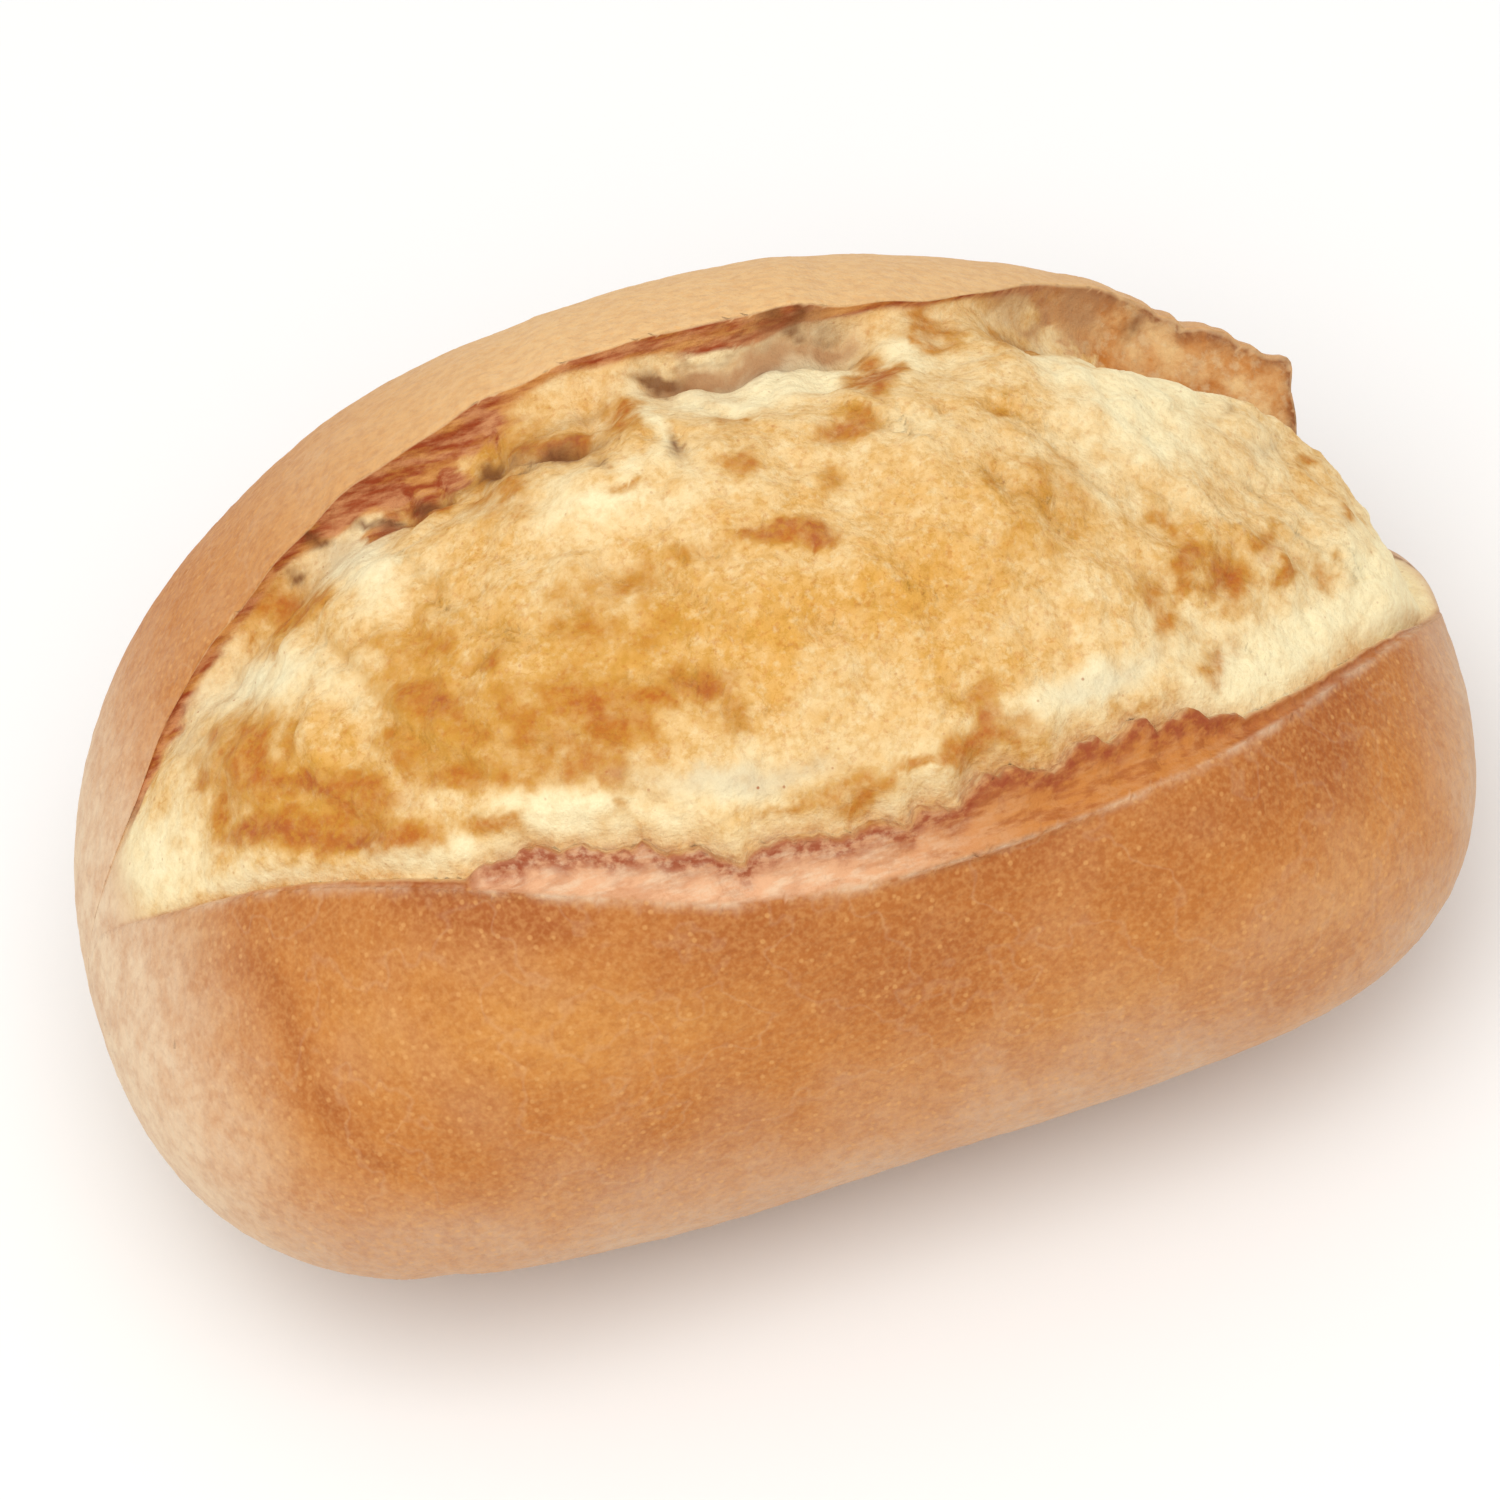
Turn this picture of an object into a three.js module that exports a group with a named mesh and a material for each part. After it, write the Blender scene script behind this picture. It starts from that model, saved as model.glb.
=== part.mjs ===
// A crusty white bread roll, baked on its flat foot and burst open along the top.
//
// Millimetres, +Z up. The roll lies along X with its foot on z = 0, and the origin is the middle of its
// bounding box on that plane. The front is towards -Y. The whole roll is one solid: a smooth outer crust,
// and between the two lips of the split the torn crumb that swelled out of it. The front lip carries a
// narrow terrace with a torn flake on its far edge. Behind the crumb a groove with pockets runs along the
// inner face of the back lip, which at the right becomes the tall inner face of a jagged ear.
//
// The surface is a loft of closed rings from pole to pole along X. A ring is the section of a plain loaf,
// walked by an angle of 0 at the front, 90 on top, 180 at the back and 270 below. The split lies on it as
// a strip of its own: a distance across the split, and a height over the plain loaf. Places along the
// roll are shares of its half length, from -1 at the left pole to 1 at the right one.

import * as THREE from "three";

// Driving dimensions
const LENGTH = 116;
const WIDTH = 78;
const HEIGHT = 60;
const WAIST_HEIGHT = 21; // height of the widest line, where the two poles are
const BOW = 4; // how far the middle of the roll lies behind its two ends
const TAPER = -0.042; // the right half is that much narrower than the left one
const FOOT_CUT = 1.5; // what the flat foot takes off the round underside

// How full the roll stays towards its left (-X) and right (+X) ends
const SIDE = { left: 3.5, right: 4.6, power: 0.456 };
const TOP = { along: 2.2, power: 0.52, droopLeft: 0.367, droopRight: 0.465 };
const UNDERSIDE = { along: 2.1, power: 0.34 };
const ROUNDNESS = { above: 2.4, below: 2.1 }; // 2 is an ellipse, more is squarer

// The angle of the front lip and of the back lip at each place
const FRONT_LIP = [
  [-1, 96], [-0.87, 82], [-0.68, 69.5], [-0.45, 55], [-0.29, 46], [-0.13, 38.7], [0.03, 35.5],
  [0.16, 35.4], [0.3, 37.3], [0.48, 42.8], [0.66, 51.7], [0.87, 66.5], [1, 77],
];
const BACK_LIP = [
  [-1, 97], [-0.87, 99.5], [-0.78, 104.5], [-0.6, 107.5], [-0.42, 109.5], [-0.2, 110.5],
  [0.1, 111], [0.28, 111.5], [0.4, 113], [0.5, 119], [0.6, 128], [0.7, 135], [0.8, 139], [0.9, 146],
  [1, 150],
];
const FULL_SPLIT = 34; // from this width on the split has its details at full size

// How wide the terrace behind the front lip is at each place
const TERRACE = [
  [-1, 0.3], [-0.5, 0.6], [-0.45, 0.9], [-0.39, 3.3], [-0.1, 3.9], [0.15, 4.2],
  [0.33, 4.9], [0.45, 4.6], [0.55, 3.4], [0.66, 1.4], [0.85, 0.8], [1, 0.3],
];
const FRONT = { ridge: 0.5, hollow: 0.9, flake: 0.9, ragged: 0.45, pitch: 6, uneven: 0.16, flakeFrom: 3 };

// How wide and how deep the groove before the back lip is at each place
const GROOVE = [
  [-1, 0.8, 0.5], [-0.75, 1.9, 1.5], [-0.5, 3, 2.6], [-0.28, 4.4, 3.2], [-0.12, 3.6, 2.6], [-0.02, 2.6, 2.2],
  [0.1, 3.2, 4], [0.24, 3.2, 3.2], [0.34, 2.4, 1.9], [0.45, 2.2, 1.6], [0.56, 3.4, 3.6], [0.66, 5, 5],
  [0.8, 5.8, 6.8], [0.88, 5.6, 6.8], [0.935, 2.6, 3], [0.965, 0.9, 0.9], [1, 0.5, 0.3],
];
const PITS = { size: 0.45, pitch: 8 };
const HOLLOW_WALL = 0.25; // how far the wall of the groove is hollowed, as a share of its depth

// The back lip, the ear that it becomes at the right, and the place round the ear's end where the loaf
// has sunk
const BACK = { rise: 0.4, ragged: 0.2, pitch: 9, undercut: 1.1, fallen: 1.6, fade: 0.17, fadePower: 1.5 };
const EAR = { rise: 0.6, ragged: 0.6, pitch: 6.5, from: 0.66, full: 0.84, to: 0.9, end: 0.07 };
const SLUMP = { deep: 5, from: 0.88, full: 0.984, angle: 142, reach: 60 };

// The crumb: how far it swells over the plain loaf, its lumps and its tears. The foot along the flake, the
// first smooth stretch and the last stretch that falls into the groove are shares of its way across.
const CRUMB = { rise: 1.9, round: 0.8, foot: 0.9, footEnd: 0.08, smoothEnd: 0.12, fallStart: 0.72, gap: 0.4 };
const LUMPS = { coarse: 0.55, coarsePitch: 17, middle: 0.28, middlePitch: 8, fine: 0.15, finePitch: 4.2 };
const TEARS = { deep: 0.4, pitch: 12, sharp: 0.16 };

// The crust: its slow unevenness and the shallow curved fold near the left end
const CRUST = { wobble: 0.3, pitch: 30, lipFrom: 0.94 };
const FOLD = { x: -27, z: 22, radius: 12, from: 175, to: 260, deep: 0.4, width: 1.6 };

// How many rings and how many points of each stretch of a ring the solid has, and how far their spacing is
// from closer together at both ends (0) to even (1)
const RINGS = 90;
const POINTS = { terrace: 3, crumb: 20, wall: 7, crust: 32 };
const EVEN = { rings: 0.12, crumb: 0.7 };
const SPLIT_STEPS = 48;

// The waves that lumps are made of: the golden angle in radians spreads their directions evenly
const WAVES = { count: 9, turn: 2.399963, first: 0.8, finer: 0.05, shift: 5.1 };

// The waves that teeth are made of: how many of each fit into one pitch, and how far a seed shifts them
const TEETH = [[0.43, 1.3], [0.71, 2.9], [1, 4.1], [1.37, 0.7]];

const degrees = THREE.MathUtils.degToRad;
const clamp = THREE.MathUtils.clamp;
const lerp = THREE.MathUtils.lerp;
const step = THREE.MathUtils.smoothstep;

// A smooth line through the rows of a table: the place is in column 0 of each row, the value in another
function through(rows, place, column = 1) {
  const last = rows.length - 1;
  let i = 0;
  while (i < last - 1 && rows[i + 1][0] < place) i += 1;
  const slope = (k) => {
    const a = rows[Math.max(k - 1, 0)];
    const b = rows[Math.min(k + 1, last)];
    return (b[column] - a[column]) / (b[0] - a[0]);
  };
  const wide = rows[i + 1][0] - rows[i][0];
  const t = clamp((place - rows[i][0]) / wide, 0, 1);
  const u = 1 - t;
  const start = rows[i][column] * u * u * (1 + 2 * t) + slope(i) * wide * t * u * u;
  const end = rows[i + 1][column] * t * t * (3 - 2 * t) - slope(i + 1) * wide * t * t * u;
  return start + end;
}

// Round lumps of about one pitch across at a point, mostly between -1 and 1: waves in many directions
function lumps(point, pitch, seed) {
  let sum = 0;
  for (let k = 0; k < WAVES.count; k += 1) {
    const turn = WAVES.turn * (k + WAVES.count * seed);
    const tilt = Math.acos(1 - (2 * k + 1) / WAVES.count);
    const flat = point.x * Math.cos(turn) + point.y * Math.sin(turn);
    const along = flat * Math.sin(tilt) + point.z * Math.cos(tilt);
    const shift = WAVES.shift * (k + 1) * (seed + 1);
    sum += Math.sin(((2 * Math.PI) / pitch) * along * (WAVES.first + WAVES.finer * k) + shift);
  }
  return sum / Math.sqrt(WAVES.count);
}

// Uneven teeth along a line, mostly between -1 and 1
function teeth(x, pitch, seed) {
  const turn = (2 * Math.PI * x) / pitch;
  let sum = 0;
  for (const [beat, shift] of TEETH) sum += Math.sin(beat * turn + shift * seed);
  return sum / Math.sqrt(TEETH.length);
}

// A share moved so that even steps of it come closer together at both ends
function crowded(t, even) {
  return lerp(0.5 - 0.5 * Math.cos(Math.PI * t), t, even);
}

// The plain loaf's section at a place: its centre and its reach each way
function sectionAt(share) {
  const end = Math.abs(share);
  const fullness = (along, power) => Math.pow(Math.max(1 - Math.pow(end, along), 0), power);
  const side = fullness(share < 0 ? SIDE.left : SIDE.right, SIDE.power);
  const droop = share < 0 ? TOP.droopLeft : TOP.droopRight;
  return {
    x: (LENGTH / 2) * share,
    y: BOW * (1 - share * share),
    half: (WIDTH / 2) * side * (1 + TAPER * share),
    up: (HEIGHT - WAIST_HEIGHT) * fullness(TOP.along, TOP.power) * (1 - droop * share * share),
    down: (WAIST_HEIGHT + FOOT_CUT) * fullness(UNDERSIDE.along, UNDERSIDE.power),
  };
}

// A point of the plain loaf's section, before the foot is cut flat
function loafPoint(section, angle) {
  const c = Math.cos(angle);
  const s = Math.sin(angle);
  const power = 2 / (s > 0 ? ROUNDNESS.above : ROUNDNESS.below);
  const across = section.half * Math.sign(c) * Math.pow(Math.abs(c), power);
  const high = (s > 0 ? section.up : -section.down) * Math.pow(Math.abs(s), power);
  return new THREE.Vector3(section.x, section.y - across, WAIST_HEIGHT + high);
}

// The loaf's outward normal, from its neighbours round the ring and along the roll
function loafNormal(share, angle) {
  const small = 1e-3;
  const section = sectionAt(share);
  const round = loafPoint(section, angle + small).sub(loafPoint(section, angle - small));
  const inside = clamp(share, -1 + 2 * small, 1 - 2 * small);
  const along = loafPoint(sectionAt(inside + small), angle).sub(loafPoint(sectionAt(inside - small), angle));
  return along.cross(round).normalize();
}

// The stretch of a section between the lips: angles at even steps and the distance walked to each
function splitTable(share) {
  const section = sectionAt(share);
  const from = degrees(through(FRONT_LIP, share));
  const to = degrees(through(BACK_LIP, share));
  const angles = [];
  const walked = [];
  let last = loafPoint(section, from);
  let distance = 0;
  for (let i = 0; i <= SPLIT_STEPS; i += 1) {
    const angle = lerp(from, to, i / SPLIT_STEPS);
    const point = loafPoint(section, angle);
    distance += point.distanceTo(last);
    angles.push(angle);
    walked.push(distance);
    last = point;
  }
  return { angles, walked, wide: distance };
}

// The angle at a distance across the split, also a little beyond the back lip
function angleAcross(table, distance) {
  const last = table.walked.length - 1;
  let i = 0;
  while (i < last - 1 && table.walked[i + 1] < distance) i += 1;
  const gap = table.walked[i + 1] - table.walked[i];
  return lerp(table.angles[i], table.angles[i + 1], (distance - table.walked[i]) / gap);
}

// What varies along the split: widths across it and heights over the plain loaf
function splitDetails(share, wide) {
  const x = (LENGTH / 2) * share;
  const size = step(wide, 0, FULL_SPLIT);
  const terrace = through(TERRACE, share);
  const flake = clamp(terrace / FRONT.flakeFrom, 0, 1);
  const fallen = step(share, EAR.to, EAR.to + EAR.end);
  const ear = step(share, EAR.from, EAR.full) * (1 - fallen);
  const ragged = teeth(x, FRONT.pitch, 1);
  const jag = ear * (EAR.rise + EAR.ragged * teeth(x, EAR.pitch, 4));
  return {
    size,
    terrace: size * terrace * (1 + FRONT.uneven * flake * ragged),
    ridge: size * FRONT.ridge,
    hollow: size * FRONT.hollow * flake,
    flake: size * flake * (FRONT.flake + FRONT.ragged * ragged),
    groove: size * through(GROOVE, share, 1),
    deep: size * (through(GROOVE, share, 2) + PITS.size * teeth(x, PITS.pitch, 2)),
    undercut: size * BACK.undercut * (1 - ear),
    back: size * (BACK.rise + BACK.ragged * teeth(x, BACK.pitch, 3) - BACK.fallen * fallen) + jag,
  };
}

// Height of the crumb over the plain loaf, at a share of the way from the flake to the groove
function crumbHeight(across, details, point) {
  const dome = CRUMB.rise * Math.pow(Math.sin(Math.PI * clamp(across, 0, 1)), CRUMB.round);
  const foot = -CRUMB.foot * (1 - step(across, 0, CRUMB.footEnd));
  const groove = -details.deep * step(across, CRUMB.fallStart, 1);
  const coarse = LUMPS.coarse * lumps(point, LUMPS.coarsePitch, 1);
  const middle = LUMPS.middle * lumps(point, LUMPS.middlePitch, 2);
  const fine = LUMPS.fine * lumps(point, LUMPS.finePitch, 3);
  const torn = -TEARS.deep * Math.exp(-Math.abs(lumps(point, TEARS.pitch, 4)) / TEARS.sharp);
  const relief = (coarse + middle + fine + torn) * step(across, 0, CRUMB.smoothEnd);
  return details.size * (dome + foot + relief) + groove;
}

// How deep the loaf has sunk round the ear's end
function slumpDepth(share, angle) {
  const off = (angle - degrees(SLUMP.angle)) / degrees(SLUMP.reach);
  const along = step(share, SLUMP.from, SLUMP.full) * (1 - step(share, SLUMP.full, 1));
  return SLUMP.deep * along * Math.exp(-off * off);
}

// One point of the split: distance across it, height over the plain loaf
function splitPoint(share, table, distance, height) {
  const angle = angleAcross(table, distance);
  const over = height - slumpDepth(share, angle);
  return loafPoint(sectionAt(share), angle).addScaledVector(loafNormal(share, angle), over);
}

// The points from the front lip to just before the back lip
function splitRing(share) {
  const table = splitTable(share);
  const details = splitDetails(share, table.wide);
  const ring = [];
  for (let i = 0; i <= POINTS.terrace; i += 1) {
    const t = i / POINTS.terrace;
    const height = lerp(details.ridge, details.flake, t) - details.hollow * Math.sin(Math.PI * t);
    ring.push(splitPoint(share, table, details.terrace * t, height));
  }
  const foot = details.terrace + CRUMB.gap * details.size;
  const edge = table.wide - details.groove;
  for (let i = 1; i <= POINTS.crumb; i += 1) {
    const across = crowded(i / POINTS.crumb, EVEN.crumb);
    const distance = lerp(foot, edge, across);
    const point = splitPoint(share, table, distance, 0);
    ring.push(splitPoint(share, table, distance, crumbHeight(across, details, point)));
  }
  const bottom = crumbHeight(1, details, splitPoint(share, table, edge, 0));
  for (let i = 1; i < POINTS.wall; i += 1) {
    const t = i / POINTS.wall;
    const bulge = details.undercut * Math.sin(Math.PI * t);
    const height = lerp(bottom, details.back, t) - HOLLOW_WALL * details.deep * Math.sin(Math.PI * t);
    ring.push(splitPoint(share, table, lerp(edge, table.wide, t) + bulge, height));
  }
  return ring;
}

// Depth of the fold in the front crust
function foldDepth(point) {
  if (point.y > 0) return 0;
  const turn = (THREE.MathUtils.radToDeg(Math.atan2(point.z - FOLD.z, point.x - FOLD.x)) + 360) % 360;
  const middle = (FOLD.from + FOLD.to) / 2;
  const reach = 1 - step(Math.abs(turn - middle), 0, (FOLD.to - FOLD.from) / 2);
  const off = (Math.hypot(point.x - FOLD.x, point.z - FOLD.z) - FOLD.radius) / FOLD.width;
  return FOLD.deep * reach * Math.exp(-off * off);
}

// The outer crust from the back lip round the underside to just before the front lip
function crustRing(share) {
  const table = splitTable(share);
  const details = splitDetails(share, table.wide);
  const from = degrees(through(BACK_LIP, share));
  const to = degrees(through(FRONT_LIP, share) + 360);
  const ring = [];
  for (let i = 0; i < POINTS.crust; i += 1) {
    const t = i / POINTS.crust;
    const angle = lerp(from, to, t);
    const point = loafPoint(sectionAt(share), angle);
    const nearBack = Math.pow(1 - step(t, 0, BACK.fade), BACK.fadePower);
    const nearFront = step(t, CRUST.lipFrom, 1);
    const wobble = CRUST.wobble * details.size * lumps(point, CRUST.pitch, 5) * (1 - nearBack);
    const lips = details.back * nearBack + details.ridge * nearFront;
    const sunk = slumpDepth(share, angle) + foldDepth(point);
    ring.push(point.addScaledVector(loafNormal(share, angle), lips + wobble - sunk));
  }
  return ring;
}

// The closed surface: rings from pole to pole, with a point at each pole
function rollGeometry() {
  const shares = [];
  for (let i = 1; i <= RINGS; i += 1) shares.push(2 * crowded(i / (RINGS + 1), EVEN.rings) - 1);
  const rings = shares.map((share) => [...splitRing(share), ...crustRing(share)]);
  const count = rings[0].length;
  const positions = [];
  for (const ring of rings) {
    for (const point of ring) positions.push(point.x, point.y, Math.max(point.z, 0));
  }
  const leftPole = positions.length / 3;
  positions.push(-LENGTH / 2, 0, WAIST_HEIGHT, LENGTH / 2, 0, WAIST_HEIGHT);
  const faces = [];
  for (let j = 0; j < count; j += 1) {
    const k = (j + 1) % count;
    for (let i = 0; i + 1 < RINGS; i += 1) {
      const a = i * count + j;
      const b = i * count + k;
      const c = a + count;
      const d = b + count;
      if ((i + j) % 2) faces.push(a, d, b, a, c, d);
      else faces.push(a, c, b, b, c, d);
    }
    const end = (RINGS - 1) * count;
    faces.push(leftPole, j, k, leftPole + 1, end + k, end + j);
  }
  const geometry = new THREE.BufferGeometry();
  geometry.setAttribute("position", new THREE.Float32BufferAttribute(positions, 3));
  geometry.setIndex(faces);
  geometry.computeBoundingBox();
  const middle = geometry.boundingBox.getCenter(new THREE.Vector3());
  geometry.translate(-middle.x, -middle.y, 0);
  geometry.computeVertexNormals();
  return geometry;
}

const bakedCrust = new THREE.MeshStandardMaterial({ color: "#cf9255", roughness: 0.62, metalness: 0 });

const roll = new THREE.Mesh(rollGeometry(), bakedCrust);
roll.name = "roll";

const model = new THREE.Group();
model.add(roll);
export default model;
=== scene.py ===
"""A crusty white bread roll, burst open along the top.

The roll is a ball whose poles are laid along X and whose points are moved to the rings of a loft. A ring is
the section of a plain loaf, walked by an angle of 0 at the front, 90 on top, 180 at the back and 270 below.
The split between the two lips is a strip of its own on each ring: a distance across the split, and a height
over the plain loaf. Places along the roll are shares of its half length, from -1 at the left pole to 1 at
the right one. The shape is worked out in millimetres and stored in metres.
"""

import math

import bpy
import numpy as np
from bpy.props import FloatProperty, FloatVectorProperty, PointerProperty
from mathutils import Color, Matrix, Vector, noise


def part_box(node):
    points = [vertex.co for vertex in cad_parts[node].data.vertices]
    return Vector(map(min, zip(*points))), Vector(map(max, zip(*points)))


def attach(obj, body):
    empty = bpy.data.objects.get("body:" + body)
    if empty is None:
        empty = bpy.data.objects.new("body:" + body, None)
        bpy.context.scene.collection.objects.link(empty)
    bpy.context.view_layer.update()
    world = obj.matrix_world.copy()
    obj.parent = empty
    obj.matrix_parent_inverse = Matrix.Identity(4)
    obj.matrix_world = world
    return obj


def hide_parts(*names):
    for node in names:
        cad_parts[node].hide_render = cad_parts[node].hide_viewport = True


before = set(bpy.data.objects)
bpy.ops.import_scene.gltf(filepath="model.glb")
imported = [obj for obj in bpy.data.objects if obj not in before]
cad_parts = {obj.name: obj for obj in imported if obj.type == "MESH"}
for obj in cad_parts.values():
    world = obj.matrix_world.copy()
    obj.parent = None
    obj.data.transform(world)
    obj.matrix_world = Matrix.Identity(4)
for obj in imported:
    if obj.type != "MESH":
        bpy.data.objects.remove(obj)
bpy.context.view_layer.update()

bl_info = {
    "name": "Split Bread Roll",
    "version": (1, 0, 0),
    "blender": (4, 5, 0),
    "location": "View3D > Sidebar > Bread Roll",
    "description": "Makes a crusty bread roll with a torn split, and a plain stage to show it on",
    "category": "Add Mesh",
}

NODE = "roll"
BODY = "root"
MM = 0.001
ROLL_BOX = [np.array(corner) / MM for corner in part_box(NODE)]

# The plain loaf
WAIST_HEIGHT = 21.0
BOW = 4.0
TAPER = -0.042
FOOT_CUT = 1.5
SIDE_LEFT, SIDE_RIGHT, SIDE_POWER = 3.5, 4.6, 0.456
TOP_ALONG, TOP_POWER, DROOP_LEFT, DROOP_RIGHT = 2.2, 0.52, 0.367, 0.465
UNDER_ALONG, UNDER_POWER = 2.1, 0.34
ROUND_ABOVE, ROUND_BELOW = 2.4, 2.1

# The angle of the front lip and of the back lip at each place
FRONT_LIP = (
    (-1, 96), (-0.87, 82), (-0.68, 69.5), (-0.45, 55), (-0.29, 46), (-0.13, 38.7), (0.03, 35.5),
    (0.16, 35.4), (0.3, 37.3), (0.48, 42.8), (0.66, 51.7), (0.87, 66.5), (1, 77),
)
BACK_LIP = (
    (-1, 97), (-0.87, 99.5), (-0.78, 104.5), (-0.6, 107.5), (-0.42, 109.5), (-0.2, 110.5),
    (0.1, 111), (0.28, 111.5), (0.4, 113), (0.5, 119), (0.6, 128), (0.7, 135), (0.8, 139), (0.9, 146),
    (1, 150),
)
FULL_SPLIT = 34.0

# How wide the terrace behind the front lip is at each place
TERRACE = (
    (-1, 0.3), (-0.5, 0.6), (-0.45, 0.9), (-0.39, 3.3), (-0.1, 3.9), (0.15, 4.2),
    (0.33, 4.9), (0.45, 4.6), (0.55, 3.4), (0.66, 1.4), (0.85, 0.8), (1, 0.3),
)
# The front lip, and the hollow and the flake of the terrace behind it
FRONT = {"ridge": 0.5, "hollow": 0.9, "flake": 0.9, "ragged": 0.45, "pitch": 6.0, "uneven": 0.16}
# The finest teeth on the flake, each as pitch, seed and share, and how far they reach out and up
FLAKE_TEETH = ((2.6, 6, 0.6), (1.5, 7, 0.4))
FLAKE_OUT, FLAKE_UP = 0.36, 0.2

# How wide and how deep the groove before the back lip is at each place
GROOVE = (
    (-1, 0.8, 0.5), (-0.75, 1.9, 1.5), (-0.5, 3, 2.6), (-0.28, 4.4, 3.2), (-0.12, 3.6, 2.6),
    (-0.02, 2.6, 2.2), (0.1, 3.2, 4), (0.24, 3.2, 3.2), (0.34, 2.4, 1.9), (0.45, 2.2, 1.6),
    (0.56, 3.4, 3.6), (0.66, 5, 5), (0.8, 5.8, 6.8), (0.88, 5.6, 6.8), (0.935, 2.6, 3), (0.965, 0.9, 0.9),
    (1, 0.5, 0.3),
)
# Pits in the groove, the back lip, its ear, and the place where the loaf has sunk
PITS = {"size": 0.45, "pitch": 8.0}
BACK = {"rise": 0.4, "ragged": 0.2, "pitch": 9.0, "undercut": 1.1, "fallen": 1.6, "fade": 0.17}
EAR = {"rise": 0.6, "ragged": 0.6, "pitch": 6.5, "from": 0.66, "full": 0.84, "to": 0.9, "end": 0.07}
EAR_TEETH = {"rise": 0.35, "pitch": 2.4}
SLUMP = {"deep": 5.0, "from": 0.88, "full": 0.984, "angle": 142.0, "reach": 60.0}
HOLLOW_WALL = 0.25

# The crumb, its lumps, each as height, pitch and seed, its tears and crags, and the crust
CRUMB = {"rise": 1.9, "round": 0.8, "foot": 0.9, "foot_end": 0.08, "smooth_end": 0.12, "fall_start": 0.72,
         "gap": 0.4}
LUMPS = ((0.55, 17.0, 1), (0.28, 8.0, 2), (0.15, 4.2, 3))
TEARS = {"deep": 0.4, "pitch": 12.0, "sharp": 0.16}
CRAGS = {"fine": 2.6, "broad": 6.5, "broad_share": 0.35, "sunk": 0.2, "octaves": 3}
CRUST = {"wobble": 0.3, "pitch": 30.0}
FOLD = {"x": -27.0, "z": 22.0, "radius": 12.0, "from": 175.0, "to": 260.0, "deep": 0.4, "width": 1.6}

# The waves that lumps are made of, and the beats and shifts of the teeth
WAVES = 9
WAVE_FIRST, WAVE_FINER, WAVE_SHIFT = 0.8, 0.05, 5.1
TEETH = ((0.43, 1.3), (0.71, 2.9), (1.0, 4.1), (1.37, 0.7))
GOLDEN_ANGLE = 2.399963

# Toasted patches on the crumb: x in mm, mm across the split from the front lip, reach along x, reach
# across, strength
TOASTED = (
    (-37, 5, 6, 1.8, 1.0), (-33, 7.5, 3.5, 2.2, 0.8), (-35, 9.3, 3, 1.2, 0.95), (-40, 12, 4, 5, 0.8),
    (-42, 8, 3, 3, 0.45), (-30, 4.5, 3, 2, 0.6), (-25, 16, 3.5, 2.5, 0.75), (-27, 12, 3, 3, 0.5),
    (-24, 9.5, 4, 1.5, 0.55), (-23, 22, 2, 3, 0.4), (-17, 14, 5, 4, 0.5), (-13, 15, 3.5, 4, 0.65),
    (-9, 16.5, 2.5, 1.5, 0.7), (-5, 17.5, 3, 1.5, 0.85), (-3, 15, 1.5, 2.5, 0.6), (-14, 11, 4, 2.5, 0.45),
    (-20, 19.5, 4, 1.5, 0.4), (-7, 26, 3, 2.5, 0.4), (-10, 22, 6, 4, 0.3), (5.5, 28, 2.8, 1.1, 1.0),
    (7, 26.8, 1.2, 0.8, 0.8), (-2.5, 28.5, 1.8, 1.2, 0.4), (3.5, 35.5, 2, 1.5, 0.55),
    (13, 37.5, 2.2, 1.8, 0.65), (16.5, 44, 2, 4, 0.85), (10, 33, 1.5, 1.5, 0.3), (4.5, 42, 1.5, 3, 0.4),
    (24.5, 34, 1.5, 1, 0.35), (36.5, 15.5, 2.2, 1.8, 0.75), (39, 13, 1.5, 3, 0.65),
    (35, 19, 1.2, 2.5, 0.45), (42, 14.5, 2, 1, 0.55), (43.5, 11, 3, 1, 0.5), (47, 9.5, 1, 2, 0.45),
    (32.5, 13, 1.2, 3, 0.55), (22, 27.5, 1.2, 1.5, 0.4), (25, 22, 4, 5, 0.25), (16, 11.8, 1.5, 0.9, 0.7),
    (16.3, 9.5, 0.8, 1.8, 0.6), (-13.8, 7.8, 1.8, 1.4, 0.18), (2, 7, 4, 0.8, 0.5),
    (11, 7.8, 4, 0.8, 0.75), (18, 7.5, 2.5, 1, 0.5), (35.4, 7, 3.0, 1.8, 0.4), (28, 6, 2, 0.6, 0.5),
    (50.5, 20, 1, 0.8, 0.9), (51.5, 13, 1.5, 1.3, 0.5), (-5.5, 35, 1.3, 0.7, 0.5), (-16, 40, 1.8, 4, 0.4),
    (-33, 29, 2.5, 4, 0.75), (-36, 26, 2, 3, 0.3), (-9, 44, 2.5, 3, 0.6), (-4, 46, 2, 4, 0.75),
    (-20.5, 40, 1.6, 2.5, 0.8), (29, 46, 2, 3.5, 0.5), (-15, 38, 3, 5, 0.45), (23, 48, 4, 3, 0.4),
    (-12, 47, 3, 2.5, 0.5), (4.5, 7, 4, 1.3, 0.6), (15, 8.2, 4, 1.5, 0.7), (-1, 6.6, 3, 0.8, 0.5),
    (-25, 21, 5, 3, 0.35), (-19, 12, 9, 3, 0.45), (27, 25, 5, 5, 0.3), (-10, 25, 8, 3, 0.25),
    (-23, 5.5, 3, 1, 0.5),
)
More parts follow.
